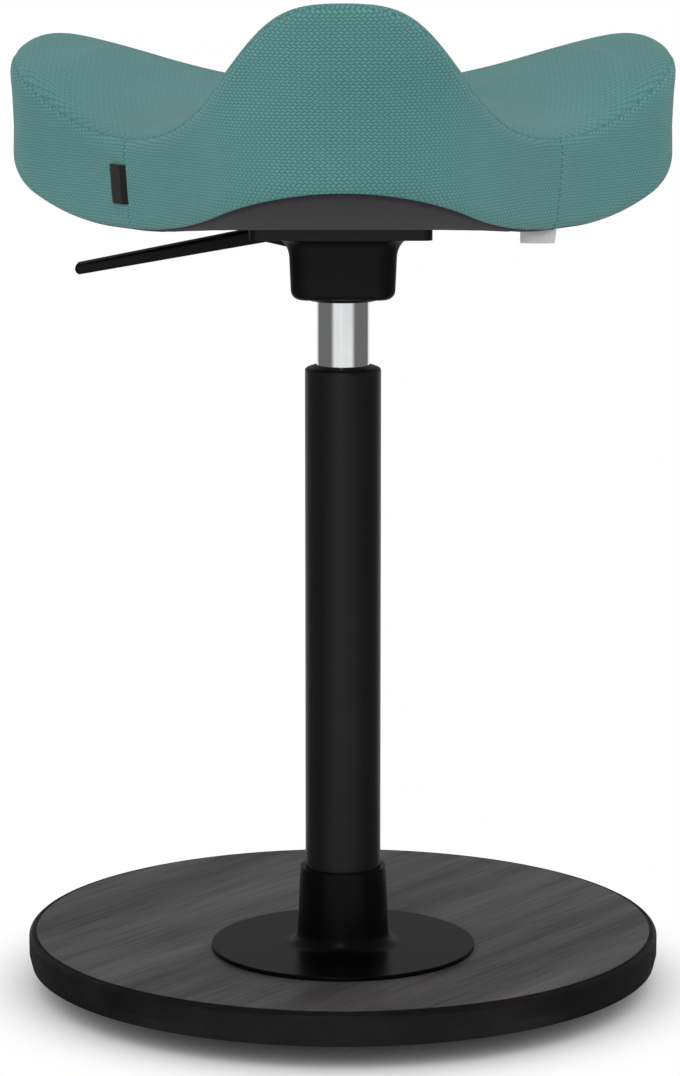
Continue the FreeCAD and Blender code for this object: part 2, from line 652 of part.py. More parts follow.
def seat_outline(inset, level):
    """The closed outline of the seat, drawn in by inset, as six tangent arcs at one level."""
    nose = Vector(0, size("NoseRadius - NoseReach"), 0)
    wing = Vector(size("WingSide"), size("WingBack"), 0)
    nose_radius, wing_radius = size("NoseRadius"), size("WingRadius")
    flank_radius, rear_radius = size("FlankRadius"), size("RearRadius")
    span = wing.sub(nose)
    reach_nose, reach_wing = flank_radius + nose_radius, flank_radius + wing_radius
    along = (span.Length ** 2 + reach_nose ** 2 - reach_wing ** 2) / (2 * span.Length)
    away = math.sqrt(reach_nose ** 2 - along ** 2)
    ahead = Vector(span).normalize()
    flank = nose.add(ahead * along).add(Vector(ahead.y, -ahead.x, 0) * away)
    rear = Vector(0, wing.y + math.sqrt((rear_radius + wing_radius) ** 2 - wing.x ** 2), 0)

    def on_circle(centre, towards, radius):
        return centre.add(towards.sub(centre).normalize() * radius)

    nose_join = on_circle(nose, flank, nose_radius - inset)
    wing_join = on_circle(wing, flank, wing_radius - inset)
    rear_join = on_circle(wing, rear, wing_radius - inset)
    flank_middle = on_circle(flank, nose_join.add(wing_join) * 0.5, flank_radius + inset)
    wing_middle = wing.add(on_circle(wing, flank, 1).sub(wing)
                           .add(on_circle(wing, rear, 1).sub(wing)).normalize()
                           * (wing_radius - inset))
    rear_middle = Vector(0, rear.y - rear_radius - inset, 0)
    tip = Vector(0, nose.y - nose_radius + inset, 0)

    def mirrored(point):
        return Vector(-point.x, point.y, 0)

    rise = Vector(0, 0, level)
    passes = [
        (mirrored(nose_join), tip, nose_join),
        (nose_join, flank_middle, wing_join),
        (wing_join, wing_middle, rear_join),
        (rear_join, rear_middle, mirrored(rear_join)),
        (mirrored(rear_join), mirrored(wing_middle), mirrored(wing_join)),
        (mirrored(wing_join), mirrored(flank_middle), mirrored(nose_join)),
    ]
    arcs = [Part.Arc(*[point.add(rise) for point in three]).toShape() for three in passes]
    return Part.Wire(arcs)


def seat_block(inset):
    """A block of the seat's outline whose wall bulges at its waist, drawn in by inset."""
    base = size(seat_base)
    levels = [("-WallFoot", "WallFootInset"), ("WallWaist", "0"), ("WallTop", "WallTopInset")]
    return Part.makeLoft([seat_outline(inset + size(draw), base + size(rise))
                          for rise, draw in levels], True, False)


# How a lobe rises with the share of its reach: a power, and a roll-over near its end.
pommel_power, pommel_roll, pommel_roll_from = 1.176, 0.286, 0.62
wing_power, wing_roll, wing_roll_from = 1.39, 3.02, 0.843
# How sharply a lobe falls off to its sides.
pommel_edge_power = 4
wing_edge_power = 3


def lobe_rise(share, power, roll, roll_from):
    """The rise of a lobe at a share of its reach: share to a power, less the roll-over past its start."""
    return share ** power - roll * max(0.0, share - roll_from) ** 2


def crown_height(x, y):
    """Height of the crown over the seat's base: a dish, the pommel, two wings and the rear rise."""
    across = abs(x)
    ahead = max(0.0, (size("PommelStart") - y) / (size("NoseReach") + size("PommelStart")))
    pommel = (size("PommelRise") * lobe_rise(ahead, pommel_power, pommel_roll, pommel_roll_from)
              / (1 + (across / size("PommelWidth")) ** pommel_edge_power))
    angle = math.radians(size("WingAngle"))
    out = max(0.0, across * math.cos(angle) + y * math.sin(angle)) / size("WingReach")
    aside = abs(y * math.cos(angle) - across * math.sin(angle))
    wing = (size("WingRise") * lobe_rise(out, wing_power, wing_roll, wing_roll_from)
            / (1 + (aside / size("WingWidth")) ** wing_edge_power))
    rear = size("RearRise") * (max(0.0, y) / size("RearReach")) ** 2
    return size("DishHeight") + pommel + wing + rear


# How far the tools that trim the seat's blocks reach past them.
past_side = "WingRadius * 0.26"
past_low = "WallFoot * 2"
tool_reach = "(WingSide + WingRadius * 1.5)"


def crown_block(drop):
    """Everything under the crown lowered by drop: a loft through sections of arcs, nose to rear."""
    base = size(seat_base)
    foot = base - size(past_low)
    half = size(f"WingSide + WingRadius + {past_side}")
    front = -size(f"NoseReach + {past_side}")
    back = size(f"WingBack + WingRadius + {past_side}")
    stations = 11
    joins = [0.0, 0.16, 0.32, 0.52, 0.76, 1.0]
    across = [-share * half for share in reversed(joins[1:])] + [share * half for share in joins]
    sections = []
    for number in range(stations):
        y = front + (back - front) * number / (stations - 1)

        def on_crown(x):
            return Vector(x, y, base + crown_height(x, y) - drop)

        edges = [Part.Arc(on_crown(a), on_crown((a + b) / 2), on_crown(b)).toShape()
                 for a, b in zip(across, across[1:])]
        right, left = Vector(half, y, foot), Vector(-half, y, foot)
        edges += [Part.LineSegment(on_crown(half), right).toShape(),
                  Part.LineSegment(right, left).toShape(),
                  Part.LineSegment(left, on_crown(-half)).toShape()]
        sections.append(Part.Wire(edges))
    return Part.makeLoft(sections, True, False)


def bends():
    """The three bends of the shell: the direction in degrees, where it folds and its radius."""
    side = size("WingBendAngle")
    return ((-90, "FrontFold", "FrontBend"), (side, "WingFold", "WingBend"),
            (180 - side, "WingFold", "WingBend"))


def under_block(lift):
    """Everything under the bent shell's lower face raised by lift: one bend for each lobe."""
    base = size(seat_base)
    foot = base - size(past_low)
    reach = size(tool_reach)
    blocks = []
    for turn, fold, bend in bends():
        radius = size(bend) - lift
        hinge = size(fold)
        half_turn = math.asin((reach - hinge) / radius) / 2
        centre = Vector(hinge, 0, base + size(bend))

        def on_bend(angle):
            return centre.add(Vector(radius * math.sin(angle), 0, -radius * math.cos(angle)))

        points = [on_bend(2 * half_turn), Vector(reach, 0, foot), Vector(-reach, 0, foot),
                  Vector(-reach, 0, base + lift), on_bend(0)]
        edges = [Part.LineSegment(a, b).toShape() for a, b in zip(points, points[1:])]
        edges.append(Part.Arc(on_bend(0), on_bend(half_turn), on_bend(2 * half_turn)).toShape())
        face = Part.Face(Part.Wire(edges))
        face.translate(Vector(0, -1.2 * reach, 0))
        block = face.extrude(Vector(0, 2.4 * reach, 0))
        block.rotate(Vector(0, 0, 0), Vector(0, 0, 1), turn)
        blocks.append(block)
    return blocks


def cut_under(shape, lift):
    for block in under_block(lift):
        shape = shape.cut(block)
    return shape


def keep_under(shape, lift):
    blocks = under_block(lift)
    return shape.common(blocks[0].fuse(blocks[1:]))


def lobe_sector(start, end):
    """An upright wedge from the seat's middle between two directions in degrees."""
    low = size(f"{seat_base} - {past_low}")
    high = size(f"{seat_base} + WallTop")
    reach = 2 * size(tool_reach)
    points = [Vector(0, 0, low)]
    for share in (0.0, 0.5, 1.0):
        angle = math.radians(start + (end - start) * share)
        points.append(Vector(reach * math.cos(angle), reach * math.sin(angle), low))
    points.append(points[0])
    return Part.Face(Part.makePolygon(points)).extrude(Vector(0, 0, high - low))


def make_seat():
    gap = size("LooseGap")
    cloth = size("ClothThickness")
    under = size("UnderCloth")
    shell_lift = under + gap
    shell_up = shell_lift + size("ShellThickness")

    holes = [post(size("NutBarrelRadius + SeatedGap"), size(f"{seat_base} - UnderCloth"),
                  size(f"{shell_top} + ShellThickness"), size(across), size(along))
             for across, along in screw_places()]
    seats = [post(size("NutFlangeRadius + LooseGap"), size(shell_top),
                  size(f"{shell_top} + NutFlange * 3"), size(across), size(along))
             for across, along in screw_places()]

    sheet_under = keep_under(cut_under(seat_block(cloth + gap), 0), under)
    for hole in holes:
        sheet_under = sheet_under.cut(hole)
    made("under_cover", sheet_under)

    shell_inset = size("ShellInset")
    shell = keep_under(cut_under(seat_block(shell_inset), shell_lift), shell_up)
    for hole in holes + seats:
        shell = shell.cut(hole)
    made("seat_shell", shell)

    foam = seat_block(cloth + gap).common(crown_block(cloth + gap))
    foam = cut_under(foam, shell_lift).cut(keep_under(seat_block(shell_inset - gap), shell_up + gap))
    for seat in seats:
        foam = foam.cut(seat)
    made("foam_cushion", foam)

    outer = seat_block(0).common(crown_block(0))
    made("top_panel", outer.cut(crown_block(cloth)))
    band = outer.common(crown_block(cloth + gap)).cut(seat_block(cloth))
    band = cut_under(band, 0)
    seam_angle = math.degrees(math.atan2(-size("SeamAhead"), size("BandSeam")))
    made("front_band", band.common(lobe_sector(-180 - seam_angle, seam_angle)))
    made("right_band", band.common(lobe_sector(seam_angle, 90)))
    made("left_band", band.common(lobe_sector(90, 180 - seam_angle)))


def under_height(x, y):
    """Height of the bent shell's lower face over the seat's base."""
    heights = [0.0]
    for turn, fold, bend in bends():
        out = (x * math.cos(math.radians(turn)) + y * math.sin(math.radians(turn))) - size(fold)
        if out > 0:
            heights.append(size(bend) - math.sqrt(size(bend) ** 2 - out ** 2))
    return max(heights)


def seam_place(rise):
    """The place on the left seam of the front band at a height over the seat's base."""
    level = size(seat_base) + rise
    away = Vector(-size("BandSeam"), -size("SeamAhead"), 0).normalize()
    ray = Part.makeLine(Vector(0, 0, level), away * 2 * size(tool_reach) + Vector(0, 0, level))
    inside = ray.common(seat_block(0))
    return max((vertex.Point for vertex in inside.Vertexes), key=lambda point: point.Length)


def make_labels():
    """A bare tag sewn into the left seam, and a care label that hangs under the right wing."""
    width, thick, height = size("TagWidth"), size("TagThickness"), size("TagHeight")
    low, high = seam_place(size("TagRise")), seam_place(size("TagRise") + height)
    along = Vector(-size("FlankAcross"), size("FlankBack"), 0).normalize()
    out = Vector(-along.y, along.x, 0)
    start = low.add(out * size("LooseGap"))
    upper = Vector(high.x, high.y, high.z).add(out * size("LooseGap"))
    face = Part.makePolygon([start, start.add(along * width), upper.add(along * width), upper, start])
    made("side_tag", Part.Face(face).extrude(out * thick))
    x, y = size("CareSide"), -size("CareFront")
    left = under_height(x - size("CareWidth") / 2, y)
    care = Part.makeBox(size("CareWidth"), size("CareThickness"), size("CareHang"),
                        Vector(x - size("CareWidth") / 2, y,
                               size(seat_base) + left - size("CareHang")))
    made("care_label", care)


make_foot()
make_pad()
make_column_foot()
make_foot_fasteners()
make_column()
make_spring()
make_carrier()
make_socket()
make_cover()
make_lever()
make_seat_fasteners()
make_seat()
make_labels()
doc.recompute()

failed = [item.Name for item in doc.Objects if "Invalid" in item.State or "Error" in item.State]
if failed:
    raise ValueError(f"features that failed: {failed}")
for thing in parts:
    if thing.Shape.isNull() or not thing.Shape.isValid():
        raise ValueError(f"{thing.Label} has no valid shape")

os.makedirs("parts", exist_ok=True)
for thing in parts:
    thing.Shape.exportStep(f"parts/{thing.Label}.step")
    print(thing.Label, len(thing.Shape.Solids), round(thing.Shape.Volume / 1000, 2), "cm3")
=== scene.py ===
import json
import math

import bpy
import numpy as np
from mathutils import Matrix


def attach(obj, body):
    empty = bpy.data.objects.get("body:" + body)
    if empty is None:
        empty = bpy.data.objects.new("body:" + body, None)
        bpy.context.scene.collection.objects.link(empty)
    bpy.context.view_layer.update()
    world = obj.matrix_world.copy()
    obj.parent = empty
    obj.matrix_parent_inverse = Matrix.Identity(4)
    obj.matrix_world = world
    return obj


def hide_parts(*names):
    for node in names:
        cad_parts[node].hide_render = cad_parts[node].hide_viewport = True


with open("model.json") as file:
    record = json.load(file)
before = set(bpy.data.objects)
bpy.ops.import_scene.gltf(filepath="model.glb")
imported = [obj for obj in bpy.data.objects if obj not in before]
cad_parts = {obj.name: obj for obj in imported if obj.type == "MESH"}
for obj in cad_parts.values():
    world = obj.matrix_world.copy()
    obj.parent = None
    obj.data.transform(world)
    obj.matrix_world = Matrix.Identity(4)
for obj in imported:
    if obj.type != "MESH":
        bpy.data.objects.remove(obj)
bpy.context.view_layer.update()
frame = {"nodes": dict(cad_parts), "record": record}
cadNodes = frame["nodes"]
print("frame loaded:", len(cadNodes), "nodes")


camera = {"place": (-0.002, -2.5469, 0.729), "tilt": 80.57, "lens": 128.09}
studio = {"ambient": 0.5, "floorPale": 0.8, "shadowReach": 0.15, "sideGrey": 0.17, "fanFrom": 0.60,
          "fanTo": 0.84, "glossyRoom": 0.3}
lamps = {
    "overhead": {"place": (0.3, -0.5, 2.6), "aim": (0, -0.05, 0.4), "size": (2.4, 1.8), "power": 11},
    "frontSoft": {"place": (-0.5, -3.4, 1.5), "aim": (0, 0, 0.5), "size": (0.7, 2.2), "power": 22},
    "leftSoft": {"place": (-2.4, -0.9, 1.2), "aim": (0, 0, 0.5), "size": (0.8, 2.2), "power": 12},
    "rightSoft": {"place": (2.4, -0.7, 1.2), "aim": (0, 0, 0.5), "size": (0.8, 2.2), "power": 12},
}

cameraData = bpy.data.cameras.new("photoCamera")
cameraData.lens = camera["lens"]
cameraData.sensor_width = 36
cameraObject = bpy.data.objects.new("photoCamera", cameraData)
cameraObject.location = camera["place"]
cameraObject.rotation_euler = (math.radians(camera["tilt"]), 0, 0)
bpy.context.scene.collection.objects.link(cameraObject)
bpy.context.scene.camera = cameraObject
bpy.context.scene.view_settings.view_transform = "Standard"

for name, lamp in lamps.items():
    data = bpy.data.lights.new(name, "AREA")
    data.shape = "RECTANGLE"
    data.size, data.size_y = lamp["size"]
    data.energy = lamp["power"]
    lampObject = bpy.data.objects.new(name, data)
    lampObject.location = lamp["place"]
    lampObject.visible_glossy = name == "frontSoft"  # the others would draw stripes on the bright tube
    aim = np.array(lamp["aim"]) - np.array(lamp["place"])
    lampObject.rotation_euler = (math.acos(-aim[2] / np.linalg.norm(aim)), 0,
                                 math.atan2(aim[1], aim[0]) - math.pi / 2)
    bpy.context.scene.collection.objects.link(lampObject)


def linear(red, green, blue):  # a screen colour of 0 to 255 as the shader's own colour
    parts = np.array([red, green, blue]) / 255
    return (*np.where(parts <= 0.04045, parts / 12.92, ((parts + 0.055) / 1.055) ** 2.4), 1.0)


class Nodes:  # a node tree with short ways to add and join its nodes
    def __init__(self, tree):
        self.tree = tree

    def node(self, kind, settings=None, **values):
        made = self.tree.nodes.new(kind)
        for key, value in (settings or {}).items():
            setattr(made, key, value)
        for key, value in values.items():
            self.give(made.inputs[key.replace("_", " ")], value)
        return made

    def give(self, socket, value):
        if isinstance(value, bpy.types.NodeSocket):
            self.tree.links.new(value, socket)
        else:
            socket.default_value = value

    def sum(self, operation, *values):
        made = self.tree.nodes.new("ShaderNodeMath")
        made.operation = operation
        for socket, value in zip(made.inputs, values):
            self.give(socket, value)
        return made.outputs[0]

    def plus(self, first, second):
        return self.sum("ADD", first, second)

    def minus(self, first, second):
        return self.sum("SUBTRACT", first, second)

    def times(self, first, second):
        return self.sum("MULTIPLY", first, second)

    def mix(self, share, first, second):
        made = self.tree.nodes.new("ShaderNodeMix")
        made.data_type = "RGBA"
        for number, value in ((0, share), (6, first), (7, second)):
            self.give(made.inputs[number], value)
        return made.outputs[2]

    def span(self, value, low, high, first=0.0, last=1.0):
        return self.node("ShaderNodeMapRange", Value=value, From_Min=low, From_Max=high, To_Min=first,
                         To_Max=last).outputs[0]

    def stretch(self, where, scale):
        return self.node("ShaderNodeMapping", Vector=where, Scale=scale).outputs[0]

    def place(self, scale=(1, 1, 1), turn=(0, 0, 0)):
        where = self.node("ShaderNodeTexCoord").outputs["Object"]
        return self.node("ShaderNodeMapping", Vector=where, Scale=scale, Rotation=turn).outputs[0]

    def noise(self, where, scale, detail=3.0, rough=0.5):
        return self.node("ShaderNodeTexNoise", Vector=where, Scale=scale, Detail=detail,
                         Roughness=rough).outputs[0]


class Finish(Nodes):  # a material under construction
    def __init__(self, name, roughness=0.5, metallic=0.0, sheen=0.0, specular=0.5):
        self.material = bpy.data.materials.new(name)
        self.material.use_nodes = True
        super().__init__(self.material.node_tree)
        self.shader = self.tree.nodes["Principled BSDF"]
        for key, value in (("Roughness", roughness), ("Metallic", metallic), ("Sheen Weight", sheen),
                           ("Specular IOR Level", specular)):
            self.shader.inputs[key].default_value = value

    def colour(self, value):
        self.give(self.shader.inputs["Base Color"], value)

    def rough(self, value):
        self.give(self.shader.inputs["Roughness"], value)

    def relief(self, height, distance, strength=1.0):
        bump = self.node("ShaderNodeBump", Height=height, Distance=distance, Strength=strength)
        self.tree.links.new(bump.outputs[0], self.shader.inputs["Normal"])
        return self.material


knitCloth = {"row": 0.0019, "stitch": 0.0035, "slant": 0.62, "wobble": 0.0012, "drift": 0.004, "fluff": 0.35,
             "thread": (101, 159, 156), "gap": (63, 116, 115), "relief": 0.00022}


def herringboneKnit():
    # rows of slanted stitches; each row leans the other way from the row under it
    fabric = Finish("tealKnit", roughness=0.82, sheen=0.14, specular=0.3)
    where = fabric.node("ShaderNodeUVMap", {"uv_map": "weave"}).outputs[0]
    wobble = fabric.node("ShaderNodeTexNoise", Vector=where, Scale=160.0, Detail=1.0).outputs[0]
    drift = fabric.node("ShaderNodeTexNoise", Vector=where, Scale=14.0, Detail=2.0).outputs[0]
    apart = fabric.node("ShaderNodeSeparateXYZ", Vector=where)
    along = fabric.plus(apart.outputs[0], fabric.times(fabric.minus(wobble, 0.5), knitCloth["wobble"]))
    up = fabric.plus(apart.outputs[1], fabric.times(fabric.minus(drift, 0.5), knitCloth["drift"]))
    rows = fabric.sum("DIVIDE", up, knitCloth["row"])
    inRow = fabric.sum("FRACT", rows)
    oddRow = fabric.sum("FLOORED_MODULO", fabric.sum("FLOOR", rows), 2.0)
    lean = fabric.minus(fabric.times(oddRow, 2.0), 1.0)
    slanted = fabric.times(lean, fabric.times(inRow, knitCloth["slant"]))
    stitches = fabric.plus(fabric.sum("DIVIDE", along, knitCloth["stitch"]), slanted)
    across = fabric.sum("SINE", fabric.times(fabric.sum("FRACT", stitches), math.pi))
    down = fabric.sum("SINE", fabric.times(inRow, math.pi))
    height = fabric.times(fabric.sum("POWER", across, 0.8), fabric.sum("POWER", down, 0.45))
    fibre = fabric.noise(where, 1500.0, 2.0)
    shade = fabric.plus(height, fabric.times(fabric.minus(fibre, 0.5), knitCloth["fluff"]))
    base = fabric.mix(fabric.span(shade, 0.05, 0.95), linear(*knitCloth["gap"]), linear(*knitCloth["thread"]))
    worn = fabric.span(fabric.noise(where, 9.0, 3.0), 0.3, 0.7, 0.94, 1.05)
    toned = fabric.node("ShaderNodeVectorMath", {"operation": "SCALE"}, Vector=base, Scale=worn).outputs[0]
    fabric.colour(toned)
    return fabric.relief(shade, knitCloth["relief"])


def wovenCloth(name, dark, light, pitch, relief, rough=0.9):
    # two crossing sets of threads, each a sine across the cloth
    fabric = Finish(name, roughness=rough, sheen=0.1, specular=0.25)
    where = fabric.node("ShaderNodeUVMap", {"uv_map": "weave"}).outputs[0]
    apart = fabric.node("ShaderNodeSeparateXYZ", Vector=where)
    warp = fabric.sum("SINE", fabric.times(apart.outputs[0], 2 * math.pi / pitch))
    weft = fabric.sum("SINE", fabric.times(apart.outputs[1], 2 * math.pi / pitch))
    weave = fabric.plus(fabric.times(fabric.times(warp, weft), 0.5), 0.5)
    fluff = fabric.noise(where, 400.0, 3.0)
    shade = fabric.plus(fabric.times(weave, 0.6), fabric.times(fluff, 0.4))
    fabric.colour(fabric.mix(fabric.span(shade, 0.2, 0.8), linear(*dark), linear(*light)))
    return fabric.relief(shade, relief)


# the top's colours are the wood's own grain and pores; the two rim colours below the top are painted shade
woodStainAndShade = {"dark": (57, 54, 54), "light": (98, 95, 95), "pore": (36, 34, 33), "rim": (16, 15, 14),
             "rimShadeLight": (27, 25, 24), "rimGloss": 0.12, "topGloss": 0.3, "grainTurn": -54,
             "grainScale": (2.2, 34, 34), "poreScale": (14, 420, 420), "topFrom": 0.0374, "topTo": 0.0378}


def stainedWoodAndShade():
    # long stretched noise is the grain, finer streaks are the pores; below the top the colour is nearly black,
    # painted shade on the side, in the groove and under the disc
    wood = Finish("stainedWoodAndShade", roughness=0.42, specular=0.3)
    along = wood.place(turn=(0, 0, math.radians(woodStainAndShade["grainTurn"])))
    grain = wood.noise(wood.stretch(along, woodStainAndShade["grainScale"]), 1.0, 6.0, 0.6)
    pores = wood.noise(wood.stretch(along, woodStainAndShade["poreScale"]), 1.0, 3.0, 0.6)
    tone = wood.mix(wood.span(grain, 0.32, 0.7), linear(*woodStainAndShade["dark"]), linear(*woodStainAndShade["light"]))
    flecked = wood.mix(wood.span(pores, 0.5, 0.72, 0.0, 0.42), tone, linear(*woodStainAndShade["pore"]))
    # painted shade: the two rim colours darken the side, the groove and the underside
    rim = wood.mix(wood.span(grain, 0.35, 0.65), linear(*woodStainAndShade["rim"]), linear(*woodStainAndShade["rimShadeLight"]))
    level = wood.node("ShaderNodeSeparateXYZ", Vector=wood.place()).outputs[2]
    onTop = wood.span(level, woodStainAndShade["topFrom"], woodStainAndShade["topTo"])
    wood.colour(wood.mix(onTop, rim, flecked))
    wood.rough(wood.span(pores, 0.3, 0.7, 0.36, 0.52))
    gloss = wood.span(level, woodStainAndShade["topFrom"], woodStainAndShade["topTo"], woodStainAndShade["rimGloss"],
                      woodStainAndShade["topGloss"])
    wood.give(wood.shader.inputs["Specular IOR Level"], gloss)
    height = wood.plus(wood.times(grain, 0.4), wood.times(pores, -0.6))
    return wood.relief(height, 0.00025, 0.6)


def coatedSteel(name, dark, light, rough, grainScale, relief, specular=0.22):
    # powder coat: a fine orange-peel of noise over a nearly even black
    coat = Finish(name, roughness=rough, specular=specular)
    where = coat.place()
    peel = coat.noise(where, grainScale, 2.0)
    cloud = coat.noise(where, 18.0, 3.0)
    coat.colour(coat.mix(coat.span(cloud, 0.3, 0.7), linear(*dark), linear(*light)))
    coat.rough(coat.span(peel, 0.3, 0.7, rough - 0.06, rough + 0.08))
    return coat.relief(peel, relief, 0.7)


def turnedMetal(name, tint, rough, ringPitch=0.0006, ringDark=0.8):
    # rings of a lathe tool round the upright axis, broken up by noise
    metal = Finish(name, roughness=rough, metallic=1.0)
    where = metal.place()
    lines = metal.noise(metal.stretch(where, (6, 6, 1 / ringPitch)), 1.0, 3.0, 0.7)
    cloud = metal.noise(where, 60.0, 2.0)
    dark = tuple(ringDark * part for part in linear(*tint)[:3]) + (1,)
    metal.colour(metal.mix(metal.span(lines, 0.3, 0.7), dark, linear(*tint)))
    metal.rough(metal.span(cloud, 0.3, 0.7, rough - 0.03, rough + 0.05))
    return metal.relief(lines, 0.00001, 0.5)


def mouldedBlack(name, dark, light, rough, relief=0.00012):
    # spark-eroded mould texture: small soft cells
    plastic = Finish(name, roughness=rough, specular=0.14)
    where = plastic.place()
    cells = plastic.node("ShaderNodeTexVoronoi", Vector=where, Scale=1400.0).outputs[0]
    cloud = plastic.noise(where, 25.0, 2.0)
    plastic.colour(plastic.mix(plastic.span(cloud, 0.3, 0.7), linear(*dark), linear(*light)))
    plastic.rough(plastic.span(cells, 0.0, 0.7, rough - 0.05, rough + 0.06))
    return plastic.relief(cells, relief, 0.5)


def softSpeckle(name, dark, light, scale, rough, relief):
    # rubber, foam and ply: cells or layers of two tones
    soft = Finish(name, roughness=rough, specular=0.3)
    where = soft.place(scale=scale)
    cells = soft.noise(where, 1.0, 4.0, 0.6)
    soft.colour(soft.mix(soft.span(cells, 0.35, 0.65), linear(*dark), linear(*light)))
    return soft.relief(cells, relief)


finishes = {
    "stained_wood": stainedWoodAndShade(),
    "rubber": softSpeckle("padRubber", (20, 20, 21), (38, 38, 40), (500, 500, 500), 0.8, 0.0002),
    "black_steel": coatedSteel("blackSteel", (15, 15, 16), (21, 21, 22), 0.4, 1800.0, 0.00004),
    "cast_black": coatedSteel("castBlack", (4, 4, 5), (8, 8, 9), 0.3, 1800.0, 0.00004, 0.085),
    "zinc_steel": turnedMetal("zincSteel", (176, 178, 176), 0.32),
    "bearing_steel": turnedMetal("bearingSteel", (196, 197, 198), 0.18),
    "chrome_tube": turnedMetal("chromeTube", (228, 229, 230), 0.11, 0.0004, 0.96),
    "black_plastic": mouldedBlack("blackPlastic", (9, 9, 10), (13, 13, 14), 0.5),
    "ply": softSpeckle("beechPly", (148, 116, 82), (196, 164, 122), (20, 160, 900), 0.6, 0.0002),
    "foam": softSpeckle("mouldedFoam", (196, 190, 168), (226, 222, 204), (900, 900, 900), 0.95, 0.0004),
    "knit": herringboneKnit(),
    "grey_cloth": wovenCloth("greyCloth", (32, 30, 34), (51, 49, 54), 0.0011, 0.0002),
    "black_ribbon": wovenCloth("blackRibbon", (14, 13, 13), (34, 32, 32), 0.0007, 0.0001, 0.6),
    "white_ribbon": wovenCloth("whiteRibbon", (206, 206, 206), (238, 238, 238), 0.0006, 0.00008, 0.7),
}
# the seam thread is teal thread, coloured darker than the knit: painted shade of the seam's crease, so the
# seams read as dark lines
seamThreadAndShade = softSpeckle("tealThreadAndShade", (26, 56, 55), (40, 78, 76), (1500, 1500, 1500), 0.8, 0.0001)

slotOfNode = {}
for part in frame["record"]["subparts"]:
    slotOfNode[part["node"]] = part.get("material_slot") or part.get("material") or part.get("slot")
for node, piece in cadNodes.items():
    finish = finishes.get(slotOfNode.get(node))
    if finish is None:
        raise ValueError(f"{node} has no finish for {slotOfNode.get(node)}")
    piece.data.materials.clear()
    piece.data.materials.append(finish)
print("finishes:", len(finishes))


def reflectedRoom(floor):
    # what bright metal sees in the floor, a painted reflection for glossy rays only: white in a fan ahead of
    # the stool and behind it, grey to both sides
    apart = floor.node("ShaderNodeSeparateXYZ", Vector=floor.place())
    x, y = apart.outputs[0], apart.outputs[1]
    level = floor.sum("SQRT", floor.plus(floor.plus(floor.times(x, x), floor.times(y, y)), 0.0001))
    fan = floor.node("ShaderNodeMapRange", {"interpolation_type": "SMOOTHSTEP"},
                     Value=floor.sum("ABSOLUTE", floor.sum("DIVIDE", y, level)), From_Min=studio["fanFrom"],
                     From_Max=studio["fanTo"], To_Min=studio["sideGrey"], To_Max=1.0)
    return fan.outputs[0]


def paleFloor():
    floor = Finish("paleFloor", roughness=0.9)
    tree = floor.tree
    floor.colour((studio["floorPale"],) * 3 + (1,))
    seen = floor.node("ShaderNodeLightPath")
    direct = floor.sum("MAXIMUM", seen.outputs["Is Camera Ray"],
                       floor.sum("MAXIMUM", seen.outputs["Is Glossy Ray"], seen.outputs["Is Transmission Ray"]))
    # painted shadow: for camera, glossy and transmission rays the floor is an emission whose colour ambient
    # occlusion darkens near the stool
    shade = floor.node("ShaderNodeAmbientOcclusion", {"samples": 32}, Distance=studio["shadowReach"])
    dark = floor.mix(floor.span(shade.outputs["AO"], 0.0, 0.93), linear(16, 16, 16), (1, 1, 1, 1))
    # painted reflection: glossy rays get the fan's strength, other rays see the floor evenly
    mirrored = floor.span(seen.outputs["Is Glossy Ray"], 0.0, 1.0, 1.0, reflectedRoom(floor))
    paperWithPaintedShade = floor.node("ShaderNodeEmission", Color=dark, Strength=mirrored)
    choice = floor.node("ShaderNodeMixShader", Fac=direct)
    tree.links.new(floor.shader.outputs[0], choice.inputs[1])
    tree.links.new(paperWithPaintedShade.outputs[0], choice.inputs[2])
    tree.links.new(choice.outputs[0], tree.nodes["Material Output"].inputs[0])
    return floor.material


floorMesh = bpy.data.meshes.new("studioFloor")
floorMesh.from_pydata([(-8, -8, 0), (8, -8, 0), (8, 8, 0), (-8, 8, 0)], [], [(0, 1, 2, 3)])
floorMesh.materials.append(paleFloor())
floorObject = bpy.data.objects.new("studioFloor", floorMesh)
bpy.context.scene.collection.objects.link(floorObject)

world = bpy.data.worlds.new("studioRoom")
bpy.context.scene.world = world
world.use_nodes = True
sky = Nodes(world.node_tree)
room = sky.tree.nodes["Background"]
room.inputs["Color"].default_value = (1, 1, 1, 1)
rays = sky.node("ShaderNodeLightPath")
direct = sky.sum("MAXIMUM", rays.outputs["Is Camera Ray"], rays.outputs["Is Transmission Ray"])
bounced = sky.span(rays.outputs["Is Glossy Ray"], 0.0, 1.0, studio["ambient"], studio["glossyRoom"])
sky.give(room.inputs["Strength"], sky.span(direct, 0.0, 1.0, bounced, 1.0))
print("studio ready")


